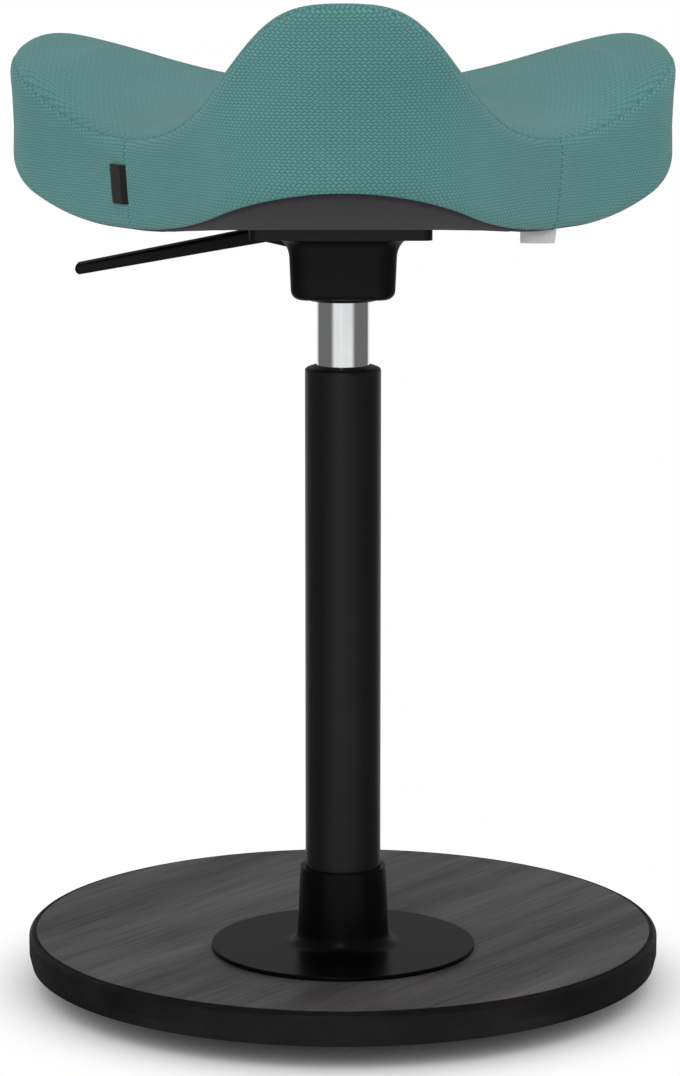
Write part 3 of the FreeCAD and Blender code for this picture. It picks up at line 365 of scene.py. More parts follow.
def surfacePiece(name, grid, body, slotName, weave=None, material=None, closed=False, firstPole=None,
                 lastPole=None, ringed=False):
    # a grid becomes quads; closed joins the last column to the first, ringed the last row; a pole shuts a row
    rows, columns = grid.shape[:2]
    index = np.arange(rows * columns).reshape(rows, columns)
    following = np.roll(index, -1, axis=1)
    last = columns if closed else columns - 1
    lastRow = rows if ringed else rows - 1
    below, belowNext = np.roll(index, -1, axis=0), np.roll(following, -1, axis=0)
    quads = np.stack([index[:lastRow, :last], following[:lastRow, :last], belowNext[:lastRow, :last],
                      below[:lastRow, :last]], axis=-1)
    faces = quads.reshape(-1, 4).tolist()
    points = grid.reshape(-1, 3)
    for pole, row, turned in ((firstPole, 0, False), (lastPole, rows - 1, True)):
        if pole is not None:
            tip = len(points)
            points = np.vstack([points, pole])
            ring = np.stack([np.full(last, tip), following[row, :last], index[row, :last]], axis=-1)
            faces += (ring[:, ::-1] if turned else ring).tolist()
    mesh = bpy.data.meshes.new(name)
    mesh.from_pydata(points.tolist(), [], faces)
    mesh.polygons.foreach_set("use_smooth", np.ones(len(mesh.polygons), bool))
    if weave is not None:
        flat = weave.reshape(-1, 2)
        if len(points) > len(flat):
            flat = np.vstack([flat, points[len(flat):, :2]])
        corners = np.zeros(len(mesh.loops), np.int32)
        mesh.loops.foreach_get("vertex_index", corners)
        layer = mesh.uv_layers.new(name="weave")
        layer.uv.foreach_set("vector", flat[corners].astype(np.float32).ravel())
    mesh.materials.append(material or finishes[slotName])
    mesh.update()
    piece = bpy.data.objects.new(name, mesh)
    bpy.context.scene.collection.objects.link(piece)
    if body:
        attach(piece, body)
    return piece


def tubeAlong(name, path, radius, sides, body, slotName, material, closed=False):
    # a circle of sides carried along the path, across its tangent
    tangent = np.gradient(path, axis=0)
    if closed:
        tangent = np.roll(path, -1, axis=0) - np.roll(path, 1, axis=0)
    tangent /= np.linalg.norm(tangent, axis=1, keepdims=True)
    side = np.cross(tangent, (0, 0, 1.0))
    flat = np.linalg.norm(side, axis=1, keepdims=True) < 0.3
    side = np.where(flat, np.cross(tangent, (1.0, 0, 0)), side)
    side /= np.linalg.norm(side, axis=1, keepdims=True)
    over = np.cross(side, tangent)
    angles = np.linspace(0, 2 * np.pi, sides, endpoint=False)
    cosine, sine = np.cos(angles)[None, :, None], np.sin(angles)[None, :, None]
    ring = (cosine * side[:, None] + sine * over[:, None]) * radius
    grid = path[:, None] + ring
    if closed:
        grid = np.concatenate([grid, grid[:1]])
        return surfacePiece(name, grid, body, slotName, material=material, closed=True)
    return surfacePiece(name, grid, body, slotName, material=material, closed=True, firstPole=path[0], lastPole=path[-1])


columnPlace = -0.056
woodDisc = {"radius": 0.2145, "top": 0.038, "ledge": 0.0365, "bead": 0.0375, "sideTop": 0.0354,
            "sideLow": 0.0229, "underRim": 0.0151, "underRadius": 0.190, "padRadius": 0.11005, "padTop": 0.003,
            "padProud": 0.001, "bulge": 0.330, "middle": 0.004, "columns": 320}
casting = {"bore": 0.02505, "rim": 0.0286, "rimTop": 0.094, "waist": 0.0306, "flangeTop": 0.041,
           "flare": 0.0085, "flange": 0.088, "low": 0.038, "clipHole": 0.0096, "columns": 192}
columnTube = {"bore": 0.023, "radius": 0.025, "low": 0.041, "top": 0.4283, "mouth": 0.0178, "mouthEdge": 0.0188,
              "lip": 0.4304, "lipUnder": 0.4284, "boreTop": 0.4243, "columns": 128}
brightTube = {"radius": 0.0175, "bore": 0.016, "low": 0.084, "top": 0.476, "capUnder": 0.472, "neckLow": 0.480,
              "neckTop": 0.508, "neck": 0.0143, "neckTip": 0.0134, "neckBore": 0.0105, "rodHole": 0.010,
              "floor": 0.0855, "columns": 160}


def curve(first, bend, last, share):
    # leaves first towards bend and arrives at last from bend
    return (1 - share) ** 2 * first + 2 * share * (1 - share) * bend + share ** 2 * last


def roundedProfile(corners, ringed=False):
    # (radius, height, round) corners: every corner becomes a short curve, every run gets a point near each end
    places = np.array([corner[:2] for corner in corners])
    profile = []
    for number, (radius, height, rounding) in enumerate(corners):
        here = places[number]
        before, after = places[number - 1], places[(number + 1) % len(corners)]
        if not ringed and number in (0, len(corners) - 1):
            profile.append(here[None])
            continue
        back, ahead = before - here, after - here
        backLength, aheadLength = np.linalg.norm(back), np.linalg.norm(ahead)
        reach = min(rounding, 0.45 * backLength, 0.45 * aheadLength)
        start, end = here + back / backLength * reach, here + ahead / aheadLength * reach
        extra = 0.35 * reach
        spaced = reach * 1.35 < 0.5 * min(backLength, aheadLength)
        if spaced:
            profile.append((start + back / backLength * extra)[None])
        profile.append(curve(start, here, end, np.linspace(0, 1, 7)[:, None]))
        if spaced:
            profile.append((end + ahead / aheadLength * extra)[None])
    return np.concatenate(profile)


def turnedPiece(name, node, corners, columns, centre, body, slotName, ringed=False, finish=None):
    # the profile (radius, height) turned about an upright axis
    profile = roundedProfile(corners, ringed)
    turn = np.linspace(0, 2 * np.pi, columns, endpoint=False)
    radius, height = profile[:, :1], profile[:, 1:]
    grid = np.stack(np.broadcast_arrays(radius * np.cos(turn), radius * np.sin(turn) + centre, height), axis=-1)
    poles = {} if ringed else {"firstPole": (0, centre, height[0, 0]), "lastPole": (0, centre, height[-1, 0])}
    piece = surfacePiece(name, grid, body, slotName, material=finishes[finish or slotName], closed=True,
                         ringed=ringed, **poles)
    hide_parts(node)


def turnedRing(name, node, piece, body, slotName, corners, finish=None):
    # a closed profile round the column; a corner names its radius and height in the piece's dictionary
    named = [(piece[radius], piece[height], rounding) for radius, height, rounding in corners]
    turnedPiece(name, node, named, piece["columns"], columnPlace, body, slotName, ringed=True, finish=finish)


def discCorners(disc):
    # top, ledge and bead inside the rim, plumb side, then an arc of the bulge's radius down to the pad
    outer, inner = disc["underRadius"], disc["padRadius"]
    rise = disc["underRim"] - disc["padProud"]
    chord = math.hypot(outer - inner, rise)
    sag = disc["bulge"] - math.sqrt(disc["bulge"] ** 2 - chord ** 2 / 4)
    across = np.array([rise, -(outer - inner)]) / chord
    share = np.linspace(0, 1, 13)[:, None]
    arc = (1 - share) * [outer, disc["underRim"]] + share * [inner, disc["padProud"]]
    arc = arc + across * sag * 4 * share * (1 - share)
    radius = disc["radius"]
    corners = [(disc["middle"], disc["top"], 0), (radius - 0.0053, disc["top"], 0.0003),
               (radius - 0.0045, disc["ledge"], 0.0002), (radius - 0.0036, disc["ledge"], 0.0002),
               (radius - 0.0023, disc["bead"], 0.0006),
               (radius, disc["sideTop"], 0.0012), (radius, disc["sideLow"], 0.0005),
               (radius - 0.0019, disc["underRim"], 0.0003)]
    corners += [(float(r), float(z), 0.0004) for r, z in arc]
    return corners + [(inner, disc["padTop"], 0.0002), (disc["middle"], disc["padTop"], 0)]


turnedPiece("wood_disc", "foot_disc", discCorners(woodDisc), woodDisc["columns"], 0.0, "base", "stained_wood")
turnedRing("column_socket", "column_foot", casting, "base", "black_steel", [
    ("bore", "rimTop", 0.0003), ("rim", "rimTop", 0.0005), ("waist", "flangeTop", casting["flare"]),
    ("flange", "flangeTop", 0.0008), ("flange", "low", 0.0004), ("clipHole", "low", 0.0002),
    ("clipHole", "flangeTop", 0.0002), ("bore", "flangeTop", 0.0002)], finish="cast_black")
turnedRing("outer_tube", "column_tube", columnTube, "base", "black_steel", [
    ("mouth", "lip", 0.0003), ("mouthEdge", "lip", 0.0006), ("radius", "top", 0.0022),
    ("radius", "low", 0.0003), ("bore", "low", 0.0003), ("bore", "boreTop", 0.001),
    ("mouth", "lipUnder", 0.0003)])
turnedRing("bright_tube", "pressure_tube", brightTube, "seat", "chrome_tube", [
    ("neckBore", "neckTop", 0.0003), ("neckTip", "neckTop", 0.0004), ("neck", "neckLow", 0.0005),
    ("radius", "top", 0.001), ("radius", "low", 0.0005), ("rodHole", "low", 0.0003),
    ("rodHole", "floor", 0.0003), ("bore", "floor", 0.0003), ("bore", "capUnder", 0.0003),
    ("neckBore", "capUnder", 0.0003)])
socketBlock = {"radius": 0.021, "low": 0.4808, "top": 0.508, "boreLow": 0.01435, "boreTop": 0.01345,
               "columns": 96, "cheekGap": 0.015, "cheekWall": 0.0035, "base": 0.5246,
               "cheek": ((-0.036, -0.0025), (-0.036, -0.0090), (-0.033, -0.0145), (-0.027, -0.0170),
                         (-0.027, -0.0360), (0.020, -0.0360), (0.020, -0.0025))}
turnedRing("socket_block", "taper_socket", socketBlock, "seat", "black_steel", [
    ("boreTop", "top", 0.0004), ("radius", "top", 0.0008), ("radius", "low", 0.0008),
    ("boreLow", "low", 0.0004)])


def cheekPlates():
    # two upright plates of the same outline, one each side of the socket
    outline = np.array(socketBlock["cheek"])
    count, points, faces = len(outline), [], []
    for side in (-1, 1):
        for depth in (socketBlock["cheekGap"], socketBlock["cheekGap"] + socketBlock["cheekWall"]):
            points += [(x, columnPlace + side * depth, socketBlock["base"] + z) for x, z in outline]
        first = len(points) - 2 * count
        ring = list(range(count))
        inner, outer = [first + n for n in ring], [first + count + n for n in ring]
        sides = [(inner[n], inner[(n + 1) % count], outer[(n + 1) % count], outer[n]) for n in ring]
        made = [inner, outer[::-1]] + [face[::-1] for face in sides]
        faces += made if side > 0 else [face[::-1] for face in made]
    mesh = bpy.data.meshes.new("cheek_plates")
    mesh.from_pydata(points, [], faces)
    mesh.materials.append(finishes["black_steel"])
    piece = bpy.data.objects.new("cheek_plates", mesh)
    bpy.context.scene.collection.objects.link(piece)
    bevel = piece.modifiers.new("edges", "BEVEL")
    bevel.width, bevel.segments = 0.0005, 2
    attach(piece, "seat")


cheekPlates()

bell = {"halfWidth": 0.033, "halfDepth": 0.034, "corner": 0.012, "flare": 0.0105, "flareHeight": 0.0150,
        "top": 0.51655, "low": 0.4770, "draft": 0.0009, "lowRound": 0.0045, "ring": 0.0222, "ringLow": 0.4745,
        "hole": 0.0179, "slotHalf": 0.0125, "slotDrop": 0.0060, "slotEdge": 0.0008, "wall": 0.0018,
        "columns": 240}


def bellSide(turn, spread):
    # how far a ray from the middle goes to a rounded rectangle that is spread beyond the cover's sides
    wide, deep = bell["halfWidth"] + spread, bell["halfDepth"] + spread
    corner = bell["corner"] + spread
    across, along = np.abs(np.cos(turn)) + 1e-9, np.abs(np.sin(turn)) + 1e-9
    nearX, nearY = wide - corner, deep - corner
    toCentre = nearX * across + nearY * along
    round_ = toCentre + np.sqrt(np.maximum(toCentre ** 2 - nearX ** 2 - nearY ** 2 + corner ** 2, 0))
    flatX, flatY = wide / across, deep / along
    return np.where(flatX * along <= nearY, flatX, np.where(flatY * across <= nearX, flatY, round_))


def bellGrid():
    # quarter-ellipse flare under the tray, drafted sides, rounded bottom edge, ring round the bright tube
    turn = np.linspace(0, 2 * np.pi, bell["columns"], endpoint=False)
    side = np.abs(bellSide(turn, bell["flare"] * np.ones(len(turn))) * np.sin(turn))
    inSlot = np.clip((bell["slotHalf"] + bell["slotEdge"] - side) / bell["slotEdge"], 0, 1)
    slot = bell["slotDrop"] * inSlot * (np.cos(turn) < 0)
    bend = np.linspace(0, np.pi / 2, 15)[:, None]
    depth = slot + (bell["flareHeight"] - slot) * (1 - np.cos(bend))
    spread = bell["flare"] * (1 - np.sin(np.arccos(1 - depth / bell["flareHeight"])))
    rows = [(bellSide(turn, wide), bell["top"] - deep) for wide, deep in zip(spread, depth)]
    straight = bell["low"] + bell["lowRound"]
    for share in (0.05, 0.5, 0.95, 1.0):
        high = bell["top"] - bell["flareHeight"]
        rows.append((bellSide(turn, -bell["draft"] * share), high + share * (straight - high)))
    for angle in np.linspace(0, np.pi / 2, 8)[1:]:
        inward = bell["draft"] + bell["lowRound"] * (1 - math.cos(angle))
        rows.append((bellSide(turn, -inward), straight - bell["lowRound"] * math.sin(angle)))
    ring, hole, low, ringLow = bell["ring"], bell["hole"], bell["low"], bell["ringLow"]
    for radius, level in ((ring + 0.0006, low), (ring, low - 0.0003), (ring, ringLow + 0.0008),
                          (ring - 0.0008, ringLow), (hole, ringLow), (hole, low)):
        rows.append((np.full(len(turn), radius), level))
    return np.stack([np.stack([reach * np.cos(turn), reach * np.sin(turn) + columnPlace,
                               np.broadcast_to(level, turn.shape)], axis=-1) for reach, level in rows])


bellPiece = surfacePiece("cover_bell", bellGrid(), "seat", "black_plastic", closed=True)
bellWall = bellPiece.modifiers.new("wall", "SOLIDIFY")
bellWall.thickness, bellWall.offset = bell["wall"], -1
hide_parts("mechanism_cover")
print("turned pieces ready")


seat = {
    "base": 0.5246, "centre": 0.015,
    "noseReach": 0.215, "noseRadius": 0.092, "wingSide": 0.1435, "wingBack": 0.076, "wingRadius": 0.077,
    "flankRadius": 3.5, "rearRadius": 0.9,
    "wallLevels": (-0.030, 0.095, 0.170), "wallInsets": (0.0095, 0.0, 0.005),
    "dish": 0.0534, "pommelRise": 0.0998, "pommelWidth": 0.0805, "pommelStart": 0.060,
    "pommelCurve": (1.176, 0.286, 0.62), "wingCurve": (1.39, 3.02, 0.843),
    "wingRise": 0.0495, "wingReach": 0.215, "wingWidth": 0.0837, "wingAngle": 23.5,
    "rearRise": 0.0266, "rearReach": 0.140,
    "bends": ((-90, 0.0609, 0.3585), (44.7, 0.0796, 0.2785), (135.3, 0.0796, 0.2785)),
    "seamSide": 0.1446, "seamAhead": 0.0765,
    "edgeRound": 0.0146, "lowRound": 0.009, "lowUnder": 0.007, "clothEnd": 0.62,
    "seamDepth": 0.0010, "seamWidth": 0.0011, "shoulder": 0.0003, "shoulderWidth": 0.008,
    "clothThickness": 0.0018, "foamInset": 0.0035, "foamDome": 0.004,
    "puffCap": 0.0015, "drawIn": 0.0008, "voxel": 0.006, "pressure": 4.0,
}


def lobeRise(share, lobe):
    # a power of the share of the lobe's reach, less a square that rolls it over near its end
    power, roll, rollFrom = lobe
    return share ** power - roll * np.clip(share - rollFrom, 0, None) ** 2


def crown(x, y):
    # dish + pommel fading sideways + wings fading across their axis + a square rise to the rear
    ahead = np.clip((seat["pommelStart"] - y) / (seat["noseReach"] + seat["pommelStart"]), 0, None)
    pommel = seat["pommelRise"] * lobeRise(ahead, seat["pommelCurve"])
    pommel = pommel / (1 + (np.abs(x) / seat["pommelWidth"]) ** 4)
    angle = math.radians(seat["wingAngle"])
    out = np.clip(np.abs(x) * math.cos(angle) + y * math.sin(angle), 0, None) / seat["wingReach"]
    aside = np.abs(y * math.cos(angle) - np.abs(x) * math.sin(angle))
    wing = seat["wingRise"] * lobeRise(out, seat["wingCurve"]) / (1 + (aside / seat["wingWidth"]) ** 3)
    rear = seat["rearRise"] * (np.clip(y, 0, None) / seat["rearReach"]) ** 2
    return seat["dish"] + pommel + wing + rear


def underside(x, y):
    # flat in the middle; each bend is a circle that starts at its fold
    height = np.zeros(np.broadcast(x, y).shape)
    for turn, fold, radius in seat["bends"]:
        angle = math.radians(turn)
        out = np.clip(x * math.cos(angle) + y * math.sin(angle) - fold, 0, None)
        height = np.maximum(height, radius - np.sqrt(radius ** 2 - out ** 2))
    return height


wallCurve = np.polyfit(seat["wallLevels"], seat["wallInsets"], 2)


def outlineLoop():
    # tangent arcs walked anticlockwise from the middle of the rear, with a point every 0.5 mm
    nose = np.array([0, seat["noseRadius"] - seat["noseReach"]])
    wing = np.array([seat["wingSide"], seat["wingBack"]])
    span = wing - nose
    length = np.linalg.norm(span)
    reachNose = seat["flankRadius"] + seat["noseRadius"]
    reachWing = seat["flankRadius"] + seat["wingRadius"]
    along = (length ** 2 + reachNose ** 2 - reachWing ** 2) / (2 * length)
    away = math.sqrt(reachNose ** 2 - along ** 2)
    ahead = span / length
    flank = nose + ahead * along + np.array([ahead[1], -ahead[0]]) * away
    rear = np.array([0, wing[1] + math.sqrt((seat["rearRadius"] + seat["wingRadius"]) ** 2 - wing[0] ** 2)])

    def arc(centre, radius, start, end):
        first = math.atan2(*(start - centre)[::-1])
        last = math.atan2(*(end - centre)[::-1])
        turn = (last - first + math.pi) % (2 * math.pi) - math.pi
        angles = first + turn * np.linspace(0, 1, max(4, int(abs(turn) * radius / 0.0005)))
        return centre + radius * np.stack([np.cos(angles), np.sin(angles)], axis=1)

    def towards(centre, other, radius):
        return centre + (other - centre) / np.linalg.norm(other - centre) * radius

    tip = nose - np.array([0, seat["noseRadius"]])
    noseJoin = towards(nose, flank, seat["noseRadius"])
    wingJoin = towards(wing, flank, seat["wingRadius"])
    rearJoin = towards(wing, rear, seat["wingRadius"])
    middle = rear - np.array([0, seat["rearRadius"]])
    right = np.concatenate([arc(nose, seat["noseRadius"], tip, noseJoin)[:-1],
                            arc(flank, seat["flankRadius"], noseJoin, wingJoin)[:-1],
                            arc(wing, seat["wingRadius"], wingJoin, wing + [0, seat["wingRadius"]])[:-1],
                            arc(wing, seat["wingRadius"], wing + [0, seat["wingRadius"]], rearJoin)[:-1],
                            arc(rear, seat["rearRadius"], rearJoin, middle)])
    left = right[::-1] * [-1, 1]
    loop = np.concatenate([left[:-1], right])
    steps = np.linalg.norm(np.diff(loop, axis=0), axis=1)
    return loop, np.concatenate([[0], np.cumsum(steps)])


loopPoints, loopLength = outlineLoop()
loopAngles = np.unwrap(np.arctan2(loopPoints[:, 1], loopPoints[:, 0]))
seamAngle = math.atan2(-seat["seamAhead"], seat["seamSide"])
leftSeam = np.interp(-math.pi - seamAngle + 2 * math.pi, loopAngles, loopLength)
rightSeam = np.interp(seamAngle + 2 * math.pi, loopAngles, loopLength)
print("outline", round(loopLength[-1], 4), "seams at", round(leftSeam, 4), round(rightSeam, 4))


def bandSamples(start, end, count):
    # even steps that close up towards both ends, where the seams are
    share = np.linspace(0, 1, count + 1)
    return start + (end - start) * (share - 0.78 * np.sin(2 * np.pi * share) / (2 * np.pi))


columnCounts = (176, 236, 176)
lengths = np.concatenate([
    bandSamples(0, leftSeam, columnCounts[0])[:-1],
    bandSamples(leftSeam, rightSeam, columnCounts[1])[:-1],
    bandSamples(rightSeam, loopLength[-1], columnCounts[2])[:-1]])


def rimAt(length):
    # the outline's point and outward normal at a length along it
    length = np.mod(length, loopLength[-1])
    near = 0.004
    def at(value):
        value = np.mod(value, loopLength[-1])
        return np.stack([np.interp(value, loopLength, loopPoints[:, 0]),
                         np.interp(value, loopLength, loopPoints[:, 1])], axis=-1)
    tangent = at(length + near) - at(length - near)
    tangent /= np.linalg.norm(tangent, axis=-1, keepdims=True)
    return at(length), np.stack([tangent[..., 1], -tangent[..., 0]], axis=-1)


def wallAt(rim, normal, height):
    # the wall at a height over the base: the outline drawn in by the bulge's parabola
    return rim - normal * np.polyval(wallCurve, height)[..., None]


def cornerHeights(rim, normal):
    top = np.full(rim.shape[:-1], 0.08)
    low = np.full(rim.shape[:-1], 0.01)
    for again in range(5):
        place = wallAt(rim, normal, top)
        top = crown(place[..., 0], place[..., 1])
        place = wallAt(rim, normal, low)
        low = underside(place[..., 0], place[..., 1])
    return top, low


def lowCorner(rim, normal, low, top, shares):
    # the round from the wall to the underside: a curve led by the corner where both would meet
    middle = np.array([0, seat["centre"]])
    height = low + seat["lowRound"]
    wallEnd = np.concatenate([wallAt(rim, normal, height), height[:, None]], axis=1)
    foot = wallAt(rim, normal, low)
    inner = foot - (foot - middle) / np.linalg.norm(foot - middle, axis=1, keepdims=True) * seat["lowUnder"]
    underStart = np.concatenate([inner, underside(inner[:, 0], inner[:, 1])[:, None]], axis=1)
    bend = np.concatenate([foot, low[:, None]], axis=1)
    return [curve(wallEnd, bend, underStart, share) for share in shares]


def onStool(grid):
    # from the seat's own frame to the stool's
    grid[..., 1] += columnPlace
    grid[..., 2] += seat["base"]
    return grid


def seatRows():
    # the profile of every column, from the middle of the crown over the rim to the under cloth
    rim, normal = rimAt(lengths)
    top, low = cornerHeights(rim, normal)
    middle = np.array([0, seat["centre"]])
    topXY = wallAt(rim, normal, top)
    reach = np.linalg.norm(topXY - middle, axis=1)
    tall = top - low

    def lifted(place, height):
        return np.concatenate([place, height[..., None]], axis=-1)

    def crownLine(share):
        place = middle + share[:, None] * (topXY - middle)
        return lifted(place, crown(place[:, 0], place[:, 1]))

    def wallLine(share):
        height = top - share * tall
        return lifted(wallAt(rim, normal, height), height)

    edge, lowEdge = seat["edgeRound"], seat["lowRound"]
    topStart, wallStart, topCorner = crownLine(1 - edge / reach), wallLine(edge / tall), lifted(topXY, top)
    spacing = 1 - (1 - np.linspace(0.03, 1, 58)) ** 1.25
    rows = [crownLine((1 - edge / reach) * share) for share in spacing][:-1]
    rows += [curve(topStart, topCorner, wallStart, share) for share in np.linspace(0, 1, 16)]
    seamRow = len(rows) - 7
    falling = 0.5 - 0.5 * np.cos(np.pi * np.linspace(0, 1, 33)[1:-1])
    rows += [wallLine(edge / tall + (1 - (edge + lowEdge) / tall) * share) for share in falling]
    rows += lowCorner(rim, normal, low, top, np.linspace(0, seat["clothEnd"], 8))
    return onStool(np.stack(rows)), seamRow


def outwardNormals(grid):
    # cross product of the steps along the rows and round the closed columns
    down = np.gradient(grid, axis=0)
    around = np.roll(grid, -1, axis=1) - np.roll(grid, 1, axis=1)
    normal = np.cross(down, around)
    return normal / np.maximum(np.linalg.norm(normal, axis=-1, keepdims=True), 1e-12)


def seamDistances(grid, seamRow):
    # how far every point is, along the cloth, from the top seam and from the nearest upright seam
    steps = np.linalg.norm(np.diff(grid, axis=0), axis=-1)
    travelled = np.concatenate([np.zeros((1, grid.shape[1])), np.cumsum(steps, axis=0)])
    fromTop = np.abs(travelled - travelled[seamRow])
    total = loopLength[-1]
    apart = [np.abs((lengths - place + total / 2) % total - total / 2) for place in (0, leftSeam, rightSeam)]
    fromSide = np.broadcast_to(np.min(apart, axis=0), fromTop.shape)
    onBand = np.arange(grid.shape[0])[:, None] >= seamRow
    return fromTop, np.where(onBand, fromSide, 1.0), travelled


def puffField(grid):
    # blows up a remeshed copy of the cushion as cloth; returns its resting points and how far they moved
    coarse = grid[::3, ::6]
    shell = surfacePiece("puffTrial", coarse, None, None, material=finishes["knit"], closed=True,
                         firstPole=coarse[0].mean(axis=0), lastPole=coarse[-1].mean(axis=0))
    remesh = shell.modifiers.new("voxels", "REMESH")
    remesh.mode = "VOXEL"
    remesh.voxel_size = seat["voxel"]
    graph = bpy.context.evaluated_depsgraph_get()
    shell.data = bpy.data.meshes.new_from_object(shell.evaluated_get(graph))
    shell.modifiers.clear()
    rest = np.zeros(len(shell.data.vertices) * 3, np.float32)
    shell.data.vertices.foreach_get("co", rest)
    cloth = shell.modifiers.new("puff", "CLOTH")
    cloth.settings.quality = 5
    cloth.settings.use_pressure = True
    cloth.settings.uniform_pressure_force = seat["pressure"]
    cloth.settings.tension_stiffness = 30
    cloth.settings.compression_stiffness = 30
    cloth.settings.bending_stiffness = 2
    cloth.settings.effector_weights.gravity = 0
    for step in range(1, 21):
        bpy.context.scene.frame_set(step)
    graph = bpy.context.evaluated_depsgraph_get()
    swollen = shell.evaluated_get(graph).to_mesh()
    moved = np.zeros(len(swollen.vertices) * 3, np.float32)
    swollen.vertices.foreach_get("co", moved)
    bpy.data.objects.remove(shell)
    bpy.context.scene.frame_set(1)
    rest, moved = rest.reshape(-1, 3), moved.reshape(-1, 3)
    return rest, moved - rest


def spreadField(grid, rest, shift):
    # the twelve nearest remeshed points weighted by closeness, on every few rows and columns, then evened out
    rowPicks = np.unique(np.linspace(0, grid.shape[0] - 1, 26).astype(int))
    columnPicks = np.arange(0, grid.shape[1], 6)
    samples = grid[rowPicks][:, columnPicks].reshape(-1, 3)
    found = np.zeros((len(samples), 3))
    for start in range(0, len(samples), 200):
        gaps = np.linalg.norm(samples[start:start + 200, None] - rest[None], axis=-1)
        near = np.argpartition(gaps, 12, axis=1)[:, :12]
        weight = 1 / (np.take_along_axis(gaps, near, axis=1) + 0.002) ** 2
        found[start:start + 200] = (shift[near] * weight[..., None]).sum(1) / weight.sum(1, keepdims=True)
    field = found.reshape(len(rowPicks), len(columnPicks), 3)
    for again in range(2):
        field = (np.roll(field, 1, axis=1) + 2 * field + np.roll(field, -1, axis=1)) / 4
    wrapped = np.concatenate([field, field[:, :1]], axis=1)
    places = np.append(columnPicks, grid.shape[1])
    full = np.stack([[np.interp(np.arange(grid.shape[1]), places, row[:, axis]) for axis in range(3)]
                     for row in wrapped]).transpose(0, 2, 1)
    left = np.interp(np.arange(grid.shape[0]), rowPicks, np.arange(len(rowPicks)))
    lower = np.floor(left).astype(int).clip(0, len(rowPicks) - 2)
    share = (left - lower)[:, None, None]
    return full[lower] * (1 - share) + full[lower + 1] * share


def finishedSeat():
    grid, seamRow = seatRows()
    normal = outwardNormals(grid)
    grid = grid - normal * seat["drawIn"]
    fromTop, fromSide, travelled = seamDistances(grid, seamRow)
    nearest = np.minimum(fromTop, fromSide)
    rest, shift = puffField(grid)
    field = spreadField(grid, rest, shift)
    size = (field * normal).sum(-1)
    size = seat["puffCap"] * np.tanh((size - np.median(size)) / seat["puffCap"])
    held = 1 - np.exp(-(nearest / 0.018) ** 2)
    lowHold = np.clip((travelled[-1] - travelled - 0.008) / 0.02, 0, 1)
    grid = grid + normal * (size * held * lowHold)[..., None]
    print("cushion puffed by up to", round(float(np.abs(size).max()) * 1000, 1), "mm")
    shoulder = seat["shoulder"] * np.exp(-(nearest / seat["shoulderWidth"]) ** 2)
    dip = (seat["seamDepth"] + seat["shoulder"]) * np.exp(-(nearest / seat["seamWidth"]) ** 2)
    grid = grid + normal * (shoulder - dip)[..., None]
    return grid, seamRow, normal, travelled


seatGrid, seamRow, seatNormal, seatTravelled = finishedSeat()
splits = (0, columnCounts[0], columnCounts[0] + columnCounts[1], sum(columnCounts))


def paddedCover(piece, node):
    wall = piece.modifiers.new("clothThickness", "SOLIDIFY")
    wall.thickness, wall.offset = seat["clothThickness"], -1
    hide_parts(node)


topGrid = seatGrid[:seamRow + 1]
turns = np.interp(lengths, loopLength, loopAngles)
topReach = seatTravelled[:seamRow + 1] + 0.006
topWeave = np.stack([topReach * np.cos(turns), topReach * np.sin(turns)], axis=-1)
topCover = surfacePiece("top_cover", topGrid, "seat", "knit", topWeave, closed=True,
                        firstPole=topGrid[0].mean(axis=0))
paddedCover(topCover, "top_panel")

bandWeave = np.stack([np.broadcast_to(lengths, seatTravelled.shape), seatGrid[..., 2]], axis=-1)
for name, node, first, last in (("left_cover", "left_band", 0, 1), ("front_cover", "front_band", 1, 2),
                                ("right_cover", "right_band", 2, 3)):
    picked = np.arange(splits[first], splits[last] + 1) % sum(columnCounts)
    weave = bandWeave[seamRow:, picked].copy()
    if last == 3:
        weave[:, -1, 0] = loopLength[-1]
    cover = surfacePiece(name, seatGrid[seamRow:, picked], "seat", "knit", weave)
    paddedCover(cover, node)

foamGrid = (seatGrid - seatNormal * seat["foamInset"])[::3, ::4]
foamPad = surfacePiece("foam_pad", foamGrid, "seat", "foam", closed=True,
                       firstPole=foamGrid[0].mean(axis=0),
                       lastPole=foamGrid[-1].mean(axis=0) + [0, 0, seat["foamDome"]])
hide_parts("foam_cushion")
print("seat covers:", seatGrid.shape)

thread = {"radius": 0.0005, "sides": 6, "proud": 0.0002}


def seamLine(name, path, closed=False):
    return tubeAlong(name, path, thread["radius"], thread["sides"], "seat", "knit", seamThreadAndShade, closed)


raised = seatGrid + seatNormal * thread["proud"]
seamLine("top_seam", raised[seamRow], closed=True)
for name, column in (("rear_seam", 0), ("left_seam", splits[1]), ("right_seam", splits[2])):
    seamLine(name, raised[seamRow + 2:, column])
seamLine("under_seam", (seatGrid[-1] + [0, 0, -0.0003]), closed=True)


underCloth = {"rows": 60, "columns": 240, "pleatSide": 0.003, "pleatWidth": 0.0028,
              "pleatDepth": 0.0007, "pleatFrom": -0.095, "lift": 0.0012, "gather": 0.00035, "gathers": 90,
              "thickness": 0.0008, "tuck": 0.0006}


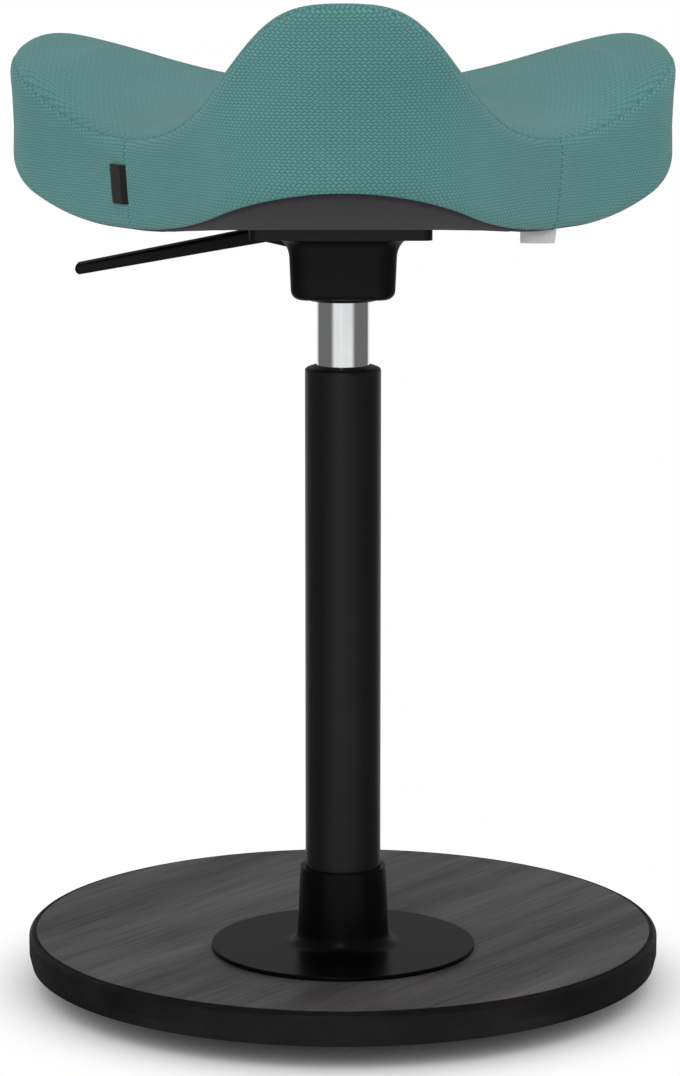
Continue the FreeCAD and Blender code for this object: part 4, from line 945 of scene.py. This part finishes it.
def underSheet():
    # rays from the middle to the corner, then up its round to the covers; pleat and gathers lower the cloth
    around = np.linspace(0, loopLength[-1], underCloth["columns"], endpoint=False)
    rim, normal = rimAt(around)
    top, low = cornerHeights(rim, normal)
    turnedUp = np.stack(lowCorner(rim, normal, low, top, np.linspace(1, seat["clothEnd"] - 0.02, 8)))
    edge = turnedUp[0, :, :2]
    middle = np.array([0, seat["centre"]])
    share = np.linspace(0.02, 1, underCloth["rows"])[:-1, None, None]
    place = middle + share * (edge - middle)
    height = underside(place[..., 0], place[..., 1]) + underCloth["lift"] * (1 - share[..., 0] ** 6)
    fold = np.exp(-((place[..., 0] - underCloth["pleatSide"]) / underCloth["pleatWidth"]) ** 2)
    fold *= np.clip((underCloth["pleatFrom"] - place[..., 1]) / 0.03, 0, 1)
    ruffle = np.arange(underCloth["columns"]) * 2 * np.pi * underCloth["gathers"] / underCloth["columns"]
    ruffle = np.sin(ruffle)
    ruffle = ruffle * share[..., 0] ** 8
    height = height - underCloth["pleatDepth"] * fold - underCloth["gather"] * ruffle
    tucked = np.linspace(0, underCloth["tuck"], len(turnedUp))[:, None]
    turnedUp[..., :2] -= normal * tucked[..., None]
    turnedUp[..., 2] += tucked
    return onStool(np.concatenate([np.concatenate([place, height[..., None]], axis=-1), turnedUp]))


def thinCloth(piece, thickness, node):
    piece.modifiers.new("thickness", "SOLIDIFY").thickness = thickness
    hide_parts(node)


def gridArea(grid):
    # half the cross product of the diagonals of every cell, with the last column joined to the first
    across = np.roll(grid, -1, axis=1)
    diagonals = np.cross(across[1:] - grid[:-1], grid[1:] - across[:-1])
    return float(np.linalg.norm(diagonals, axis=-1).sum() / 2)


underGrid = underSheet()
underPiece = surfacePiece("under_cloth", underGrid[:, ::-1], "seat", "grey_cloth", underGrid[:, ::-1, :2],
                          closed=True, firstPole=underGrid[0].mean(axis=0))
thinCloth(underPiece, underCloth["thickness"], "under_cover")
round(gridArea(underGrid), 4)


sideTag = {"width": 0.016, "low": 0.016, "high": 0.041, "off": 0.0022, "layerGap": 0.0007, "fold": 0.0004,
           "thickness": 0.0003}
careLabel = {"side": 0.124, "front": 0.060, "width": 0.023, "height": 0.0101, "hang": 0.0088,
             "taper": 0.10, "bow": 0.0012, "sunk": 0.0006, "thickness": 0.0004}


def foldedTag():
    # out from the seam, round a small fold and back under itself
    turn = np.linspace(0, 1, 33)
    outer = np.clip(turn / 0.46, 0, 1) - np.clip((turn - 0.54) / 0.46, 0, 1)
    fold = np.sin(np.clip((turn - 0.46) / 0.08, 0, 1) * np.pi) * sideTag["fold"]
    layer = 0.5 + 0.5 * np.cos(np.clip((turn - 0.42) / 0.16, 0, 1) * np.pi)
    reach = outer * sideTag["width"] + fold
    heights = np.linspace(sideTag["low"], sideTag["high"], 24)
    rim, normal = rimAt(leftSeam - reach)
    swell = sideTag["off"] * np.clip(reach / 0.003, 0.15, 1)
    swell = swell + layer * sideTag["layerGap"] * np.clip(reach / 0.002, 0.2, 1)
    rows = [np.concatenate([wallAt(rim, normal, np.full(len(reach), height)) + normal * swell[:, None],
                            np.full((len(reach), 1), height)], axis=1) for height in heights]
    weave = np.stack(np.broadcast_arrays(turn * 2 * sideTag["width"], heights[:, None]), axis=-1)
    return onStool(np.stack(rows)), weave


tagGrid, tagWeave = foldedTag()
tagPiece = surfacePiece("ribbon_tag", tagGrid, "seat", "black_ribbon", tagWeave)
thinCloth(tagPiece, sideTag["thickness"], "side_tag")


def hangingLabel():
    # a short strip that hangs down, narrows and bows forward a little
    across = np.linspace(-0.5, 0.5, 25)[None]
    down = np.linspace(0, 1, 13)[:, None]
    width = careLabel["width"] * (1 - careLabel["taper"] * down * (across > 0))
    x = careLabel["side"] + across * width
    y = -careLabel["front"] - careLabel["bow"] * np.sin(down * np.pi) * np.cos(across * np.pi)
    root = underside(x, np.full(x.shape, -careLabel["front"])) - careLabel["sunk"]
    z = root - down * careLabel["hang"]
    return np.stack([x, y + columnPlace, z + seat["base"]], axis=-1), np.stack(
        np.broadcast_arrays(across * careLabel["width"], down * careLabel["hang"]), axis=-1)


labelGrid, labelWeave = hangingLabel()
labelPiece = surfacePiece("hanging_label", labelGrid, "seat", "white_ribbon", labelWeave)
thinCloth(labelPiece, careLabel["thickness"], "care_label")
print("labels and under cloth ready")
